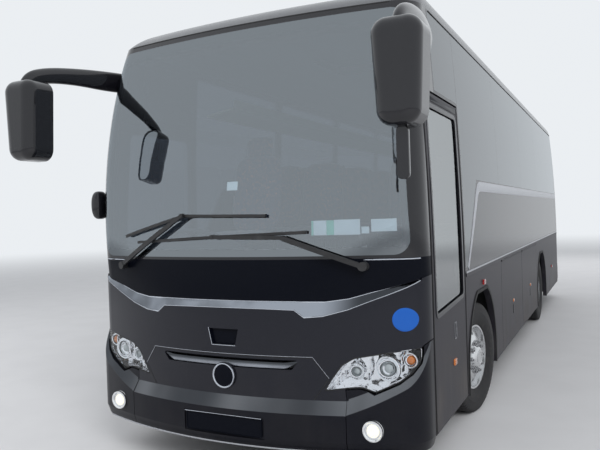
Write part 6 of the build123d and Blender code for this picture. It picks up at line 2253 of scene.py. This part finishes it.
@dataclass
class KerbMirror(SubAssembly):
    """A small pod on a stub, beside the right windscreen post, that looks down at the kerb.

    Attributes:
        middle: The pod's middle.
        size: Its width, depth and height.
        stub: The stub's two ends.
    """

    middle: Row = (-1.236, NOSE + 0.3, 1.73)
    size: Row = (0.088, 0.13, 0.205)
    stub: Rows = ((-1.155, NOSE + 0.33, 1.755), (-1.225, NOSE + 0.31, 1.75))

    def build(self) -> None:
        """Puts the pod and its stub."""
        pod = grid(pad(self.size, 2.8, 28, 48) + np.array(self.middle))
        stub = sweep(np.linspace(*np.array(self.stub), 6), circle(0.014, 16))
        self.put("kerb_mirror", [pod, stub], "gloss_black", slot="black_gloss")


# Roof and rear


@dataclass
class RoofTrim(SubAssembly):
    """Grilles of the roof unit's fans and ribs of the hatches.

    Attributes:
        centre: Y of the unit's middle.
        top: Height of the unit's top.
        fans: X and Y of the fans from the unit's middle.
        rings: Radius of each ring of a guard.
        hatches: Y of each hatch's middle.
    """

    centre: float = (FRONT_AXLE + REAR_AXLE) / 2 + 0.9
    top: float = 3.285
    fans: Pair = (0.3, 0.52)
    rings: Row = (0.075, 0.105, 0.135, 0.165, 0.195, 0.215)
    hatches: Pair = (NOSE + 2.5, TAIL - 1.5)

    def spoke(self, spot: Pair, angle: float, reach: np.ndarray, below: float) -> np.ndarray:
        """Gives a level line from a fan's middle, some way below the unit's top.

        Args:
            spot: The fan's middle.
            angle: The line's direction.
            reach: Distances from the middle.
            below: How far under the unit's top.

        Returns:
            The line's points.
        """
        x = spot[0] + reach * math.cos(angle)
        y = spot[1] + reach * math.sin(angle)
        return points_at(x, y, self.top - below)

    def fan_guard(self, spot: Pair) -> list[Shell]:
        """Makes one round guard: rings and spokes over the fan's opening.

        Args:
            spot: The fan's middle.

        Returns:
            The wires' shells.
        """
        below, wire, spokes = 0.006, circle(0.003, 6), 8
        shells = []
        for radius in self.rings:
            ring = circle(radius, 48) + np.array(spot)
            shells.append(sweep(points_at(*ring.T, self.top - below), wire, close=True))
        reach = np.linspace(0.058, self.rings[-1], 6)
        for angle in np.arange(spokes) * FULL_TURN / spokes:
            shells.append(sweep(self.spoke(spot, angle, reach, below), wire))
        return shells

    def blades(self, spot: Pair) -> list[Shell]:
        """Makes the fan under a guard: flat twisted blades about the hub.

        Args:
            spot: The fan's middle.

        Returns:
            One shell for each blade.
        """
        count, tilt = 7, 0.5
        plate = rectangle(0.07, 0.003, 0.001)
        wide = plate[:, 0] * math.cos(tilt) * 0.9
        section = points_at(wide, plate[:, 0] * math.sin(tilt) * 0.2 + plate[:, 1])
        reach = np.linspace(0.0605, 0.2, 7)
        return [
            sweep(self.spoke(spot, FULL_TURN * index / count, reach, 0.022), section)
            for index in range(count)
        ]

    def build(self) -> None:
        """Puts the roof's details."""
        guards, blades = [], []
        across, along = self.fans
        for x in (-across, across):
            for y in (self.centre - along, self.centre + along):
                guards += self.fan_guard((x, y))
                blades += self.blades((x, y))
        put, slot = self.put, "black_plastic"
        put("fan_guards", guards, "black_plastic", slot=slot)
        put("fan_blades", blades, "grey_plastic", slot=slot)
        layers = [(0.0, 3.1315), (0.0, 3.135), (0.003, 3.137)]
        for index, y in enumerate(self.hatches, start=1):
            bars = [rectangle(0.52, 0.022, 0.008, (0.0, y + step))
                    for step in (-0.2, -0.1, 0.0, 0.1, 0.2)]
            ribs = [slab(bar, layers, flat()) for bar in bars]
            put(f"hatch_ribs_{index}", ribs, "grey_plastic", f"roof_hatch_{index}", slot=slot)


@dataclass
class RearTrim(SubAssembly):
    """Lamp segments, blank plate and handle of the tail.

    Attributes:
        lamp_x: Middle of a tail lamp.
        radius: Radius of a tail lamp.
        handle_height: Height of the lid's handle.
        plate_height: Height of the blank plate.
        segments: Height and finish of each round lamp.
    """

    lamp_x: float = 1.045
    radius: float = 0.05
    handle_height: float = 0.7
    plate_height: float = 0.86
    segments: tuple = (
        (1.31, "amber_lens"), (1.18, "red_lens"), (1.05, "red_lens"), (0.92, "white_lens"),
        (0.79, "red_lens"),
    )

    def build(self) -> None:
        """Puts the rear's pieces."""
        put, place, radius = self.put, upright(TAIL - 0.0015, 1.0), self.radius
        handle = slab(rectangle(0.24, 0.05, 0.02, (0.0, self.handle_height)),
                      [(0.0, -0.004), (0.0, 0.004), (0.006, 0.008)], place)
        plate = slab(rectangle(0.54, 0.14, 0.015, (0.0, self.plate_height)),
                     [(0.0, -0.004), (0.0, 0.005), (0.004, 0.007), (0.008, 0.004)], place)
        put("lid_handle", [handle], "black_plastic", "engine_lid", slot="black_plastic")
        put("rear_plate_blank", [plate], "black_plastic", "engine_lid", slot="black_plastic")
        lens = [*dome(radius, 0.016, 8), (radius, -0.001), (0.0, -0.001)]
        rim = [(radius, -0.001), (radius, 0.006), (radius + 0.005, 0.005),
               (radius + 0.006, -0.001), (radius, -0.001)]
        for number, (z, finish) in enumerate(self.segments, start=1):
            spots = [(side * self.lamp_x, TAIL + 0.0045, z) for side in (LEFT, RIGHT)]
            lenses = [lathe(lens, spot, REARWARD, 40) for spot in spots]
            rims = [lathe(rim, spot, REARWARD, 40) for spot in spots]
            put(f"tail_lens_{number}", lenses, finish, slot="lamp_red")
            put(f"tail_rim_{number}", rims, "chrome", slot="lamp_chrome")


# Camera, light and floor


@dataclass(frozen=True)
class Studio:
    """The photograph's viewpoint, a pale floor and soft light.

    Attributes:
        eye: The camera's place.
        yaw: Degrees from +Y towards +X.
        pitch: Degrees above the horizon.
        roll: Degrees about the line of sight.
        lens: Focal length in millimetres on a sensor 36 mm wide.
    """

    eye: tuple[float, float, float] = (2.173, NOSE - 3.300, 1.608)
    yaw: float = -26.21
    pitch: float = -0.88
    roll: float = -1.90
    lens: float = 642.3 / 600.0 * 36.0

    def camera(self) -> None:
        """Sets the camera: its right and up lines turned by the roll about the line of sight."""
        yaw, pitch, roll = (math.radians(a) for a in (self.yaw, self.pitch, self.roll))
        forward = np.array(
            [math.sin(yaw) * math.cos(pitch), math.cos(yaw) * math.cos(pitch), math.sin(pitch)]
        )
        right = np.array([math.cos(yaw), -math.sin(yaw), 0.0])
        up = np.cross(right, forward)
        turned_right = right * math.cos(roll) + up * math.sin(roll)
        turned_up = -right * math.sin(roll) + up * math.cos(roll)
        data = bpy.data.cameras.new("camera")
        data.lens = self.lens
        data.sensor_width = 36.0
        data.clip_end = 400.0
        camera = bpy.data.objects.new("camera", data)
        matrix = np.eye(4)
        matrix[:3, 0], matrix[:3, 1], matrix[:3, 2] = turned_right, turned_up, -forward
        matrix[:3, 3] = self.eye
        camera.matrix_world = Matrix(matrix.tolist())
        bpy.context.scene.collection.objects.link(camera)
        bpy.context.scene.camera = camera

    def lamp(self, name: str, place: Row, aim: Row, size: float, watts: float) -> None:
        """Adds a square soft lamp.

        Args:
            name: Its name.
            place: Where it stands.
            aim: The point that it faces.
            size: Its side.
            watts: Its power.
        """
        data = bpy.data.lights.new(name, "AREA")
        data.energy = watts
        data.size = size
        lamp = bpy.data.objects.new(name, data)
        lamp.location = place
        lamp.rotation_mode = "QUATERNION"
        lamp.rotation_quaternion = (Vector(place) - Vector(aim)).to_track_quat("Z", "Y")
        lamp.visible_glossy = False
        bpy.context.scene.collection.objects.link(lamp)

    def world(self) -> None:
        """Sets a pale world that the lens, gloss and glass see at its full colour."""
        shader = Shader("studio_world", world=True)
        path = shader.node("ShaderNodeLightPath", {}, {})
        rays = ("Is Camera Ray", "Is Glossy Ray", "Is Transmission Ray")
        camera, gloss, glass = (Value(shader, path.outputs[ray]) for ray in rays)
        light = shader.node(
            "ShaderNodeBackground", {}, {"Color": (0.93, 0.96, 1.0), "Strength": 0.6}
        )
        shown = shader.node("ShaderNodeBackground", {}, {"Color": BACKDROP})
        mixed = shader.mix(camera.most(gloss).most(glass), light, shown)
        bpy.context.scene.world = shader.finish(mixed)

    def floor(self, palette: Palette) -> None:
        """Lays a round floor: rings of growing radius times a full turn.

        Args:
            palette: Gives the finishes.
        """
        turn = np.linspace(0.0, FULL_TURN, 97)[None, :]
        reach = np.array([0.0, 6.0, 12.0, 24.0, 48.0, 160.0])[:, None]
        points = points_at(reach * np.cos(turn), reach * np.sin(turn), 0.0)
        floor = mesh_piece("studio_floor", [grid(points)], smooth=False)
        palette.dress(floor, "ground")

    def build(self, palette: Palette) -> None:
        """Builds the whole studio.

        Args:
            palette: Gives the finishes.
        """
        self.camera()
        self.world()
        self.floor(palette)
        aim = (0.0, 0.0, 1.5)
        self.lamp("key", (7.0, NOSE - 6.0, 8.0), aim, 6.0, 900.0)
        self.lamp("fill", (-8.0, NOSE - 3.0, 6.0), aim, 7.0, 450.0)
        self.lamp("back", (2.0, TAIL + 8.0, 8.0), aim, 7.0, 450.0)


def main() -> None:
    """Builds the coach's looks and the studio."""
    logging.basicConfig(level=logging.INFO, format="%(name)s: %(message)s")
    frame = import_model()
    palette = Palette()
    palette.dress_nodes(frame["nodes"])
    FrontTrim(palette).build()
    for word, side in SIDES:
        Headlamp(palette, side, word).build()
        FogLamp(palette, side, word).build()
    for word, side in SIDES:
        SideTrim(palette, side, word).build()
    DoorTrim(palette).build()
    for word, side in SIDES:
        Wheel(palette, word, f"wheel_front_{word}", side, True).build()
        Wheel(palette, word, f"wheels_rear_{word}", side, False).build()
    Seats(palette).build()
    CabDetails(palette).build()
    MirrorArms(palette).build()
    KerbMirror(palette).build()
    RoofTrim(palette).build()
    RearTrim(palette).build()
    Studio().build(palette)
    bpy.context.scene.view_settings.view_transform = "Standard"
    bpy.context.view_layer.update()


if __name__ == "__main__":
    main()
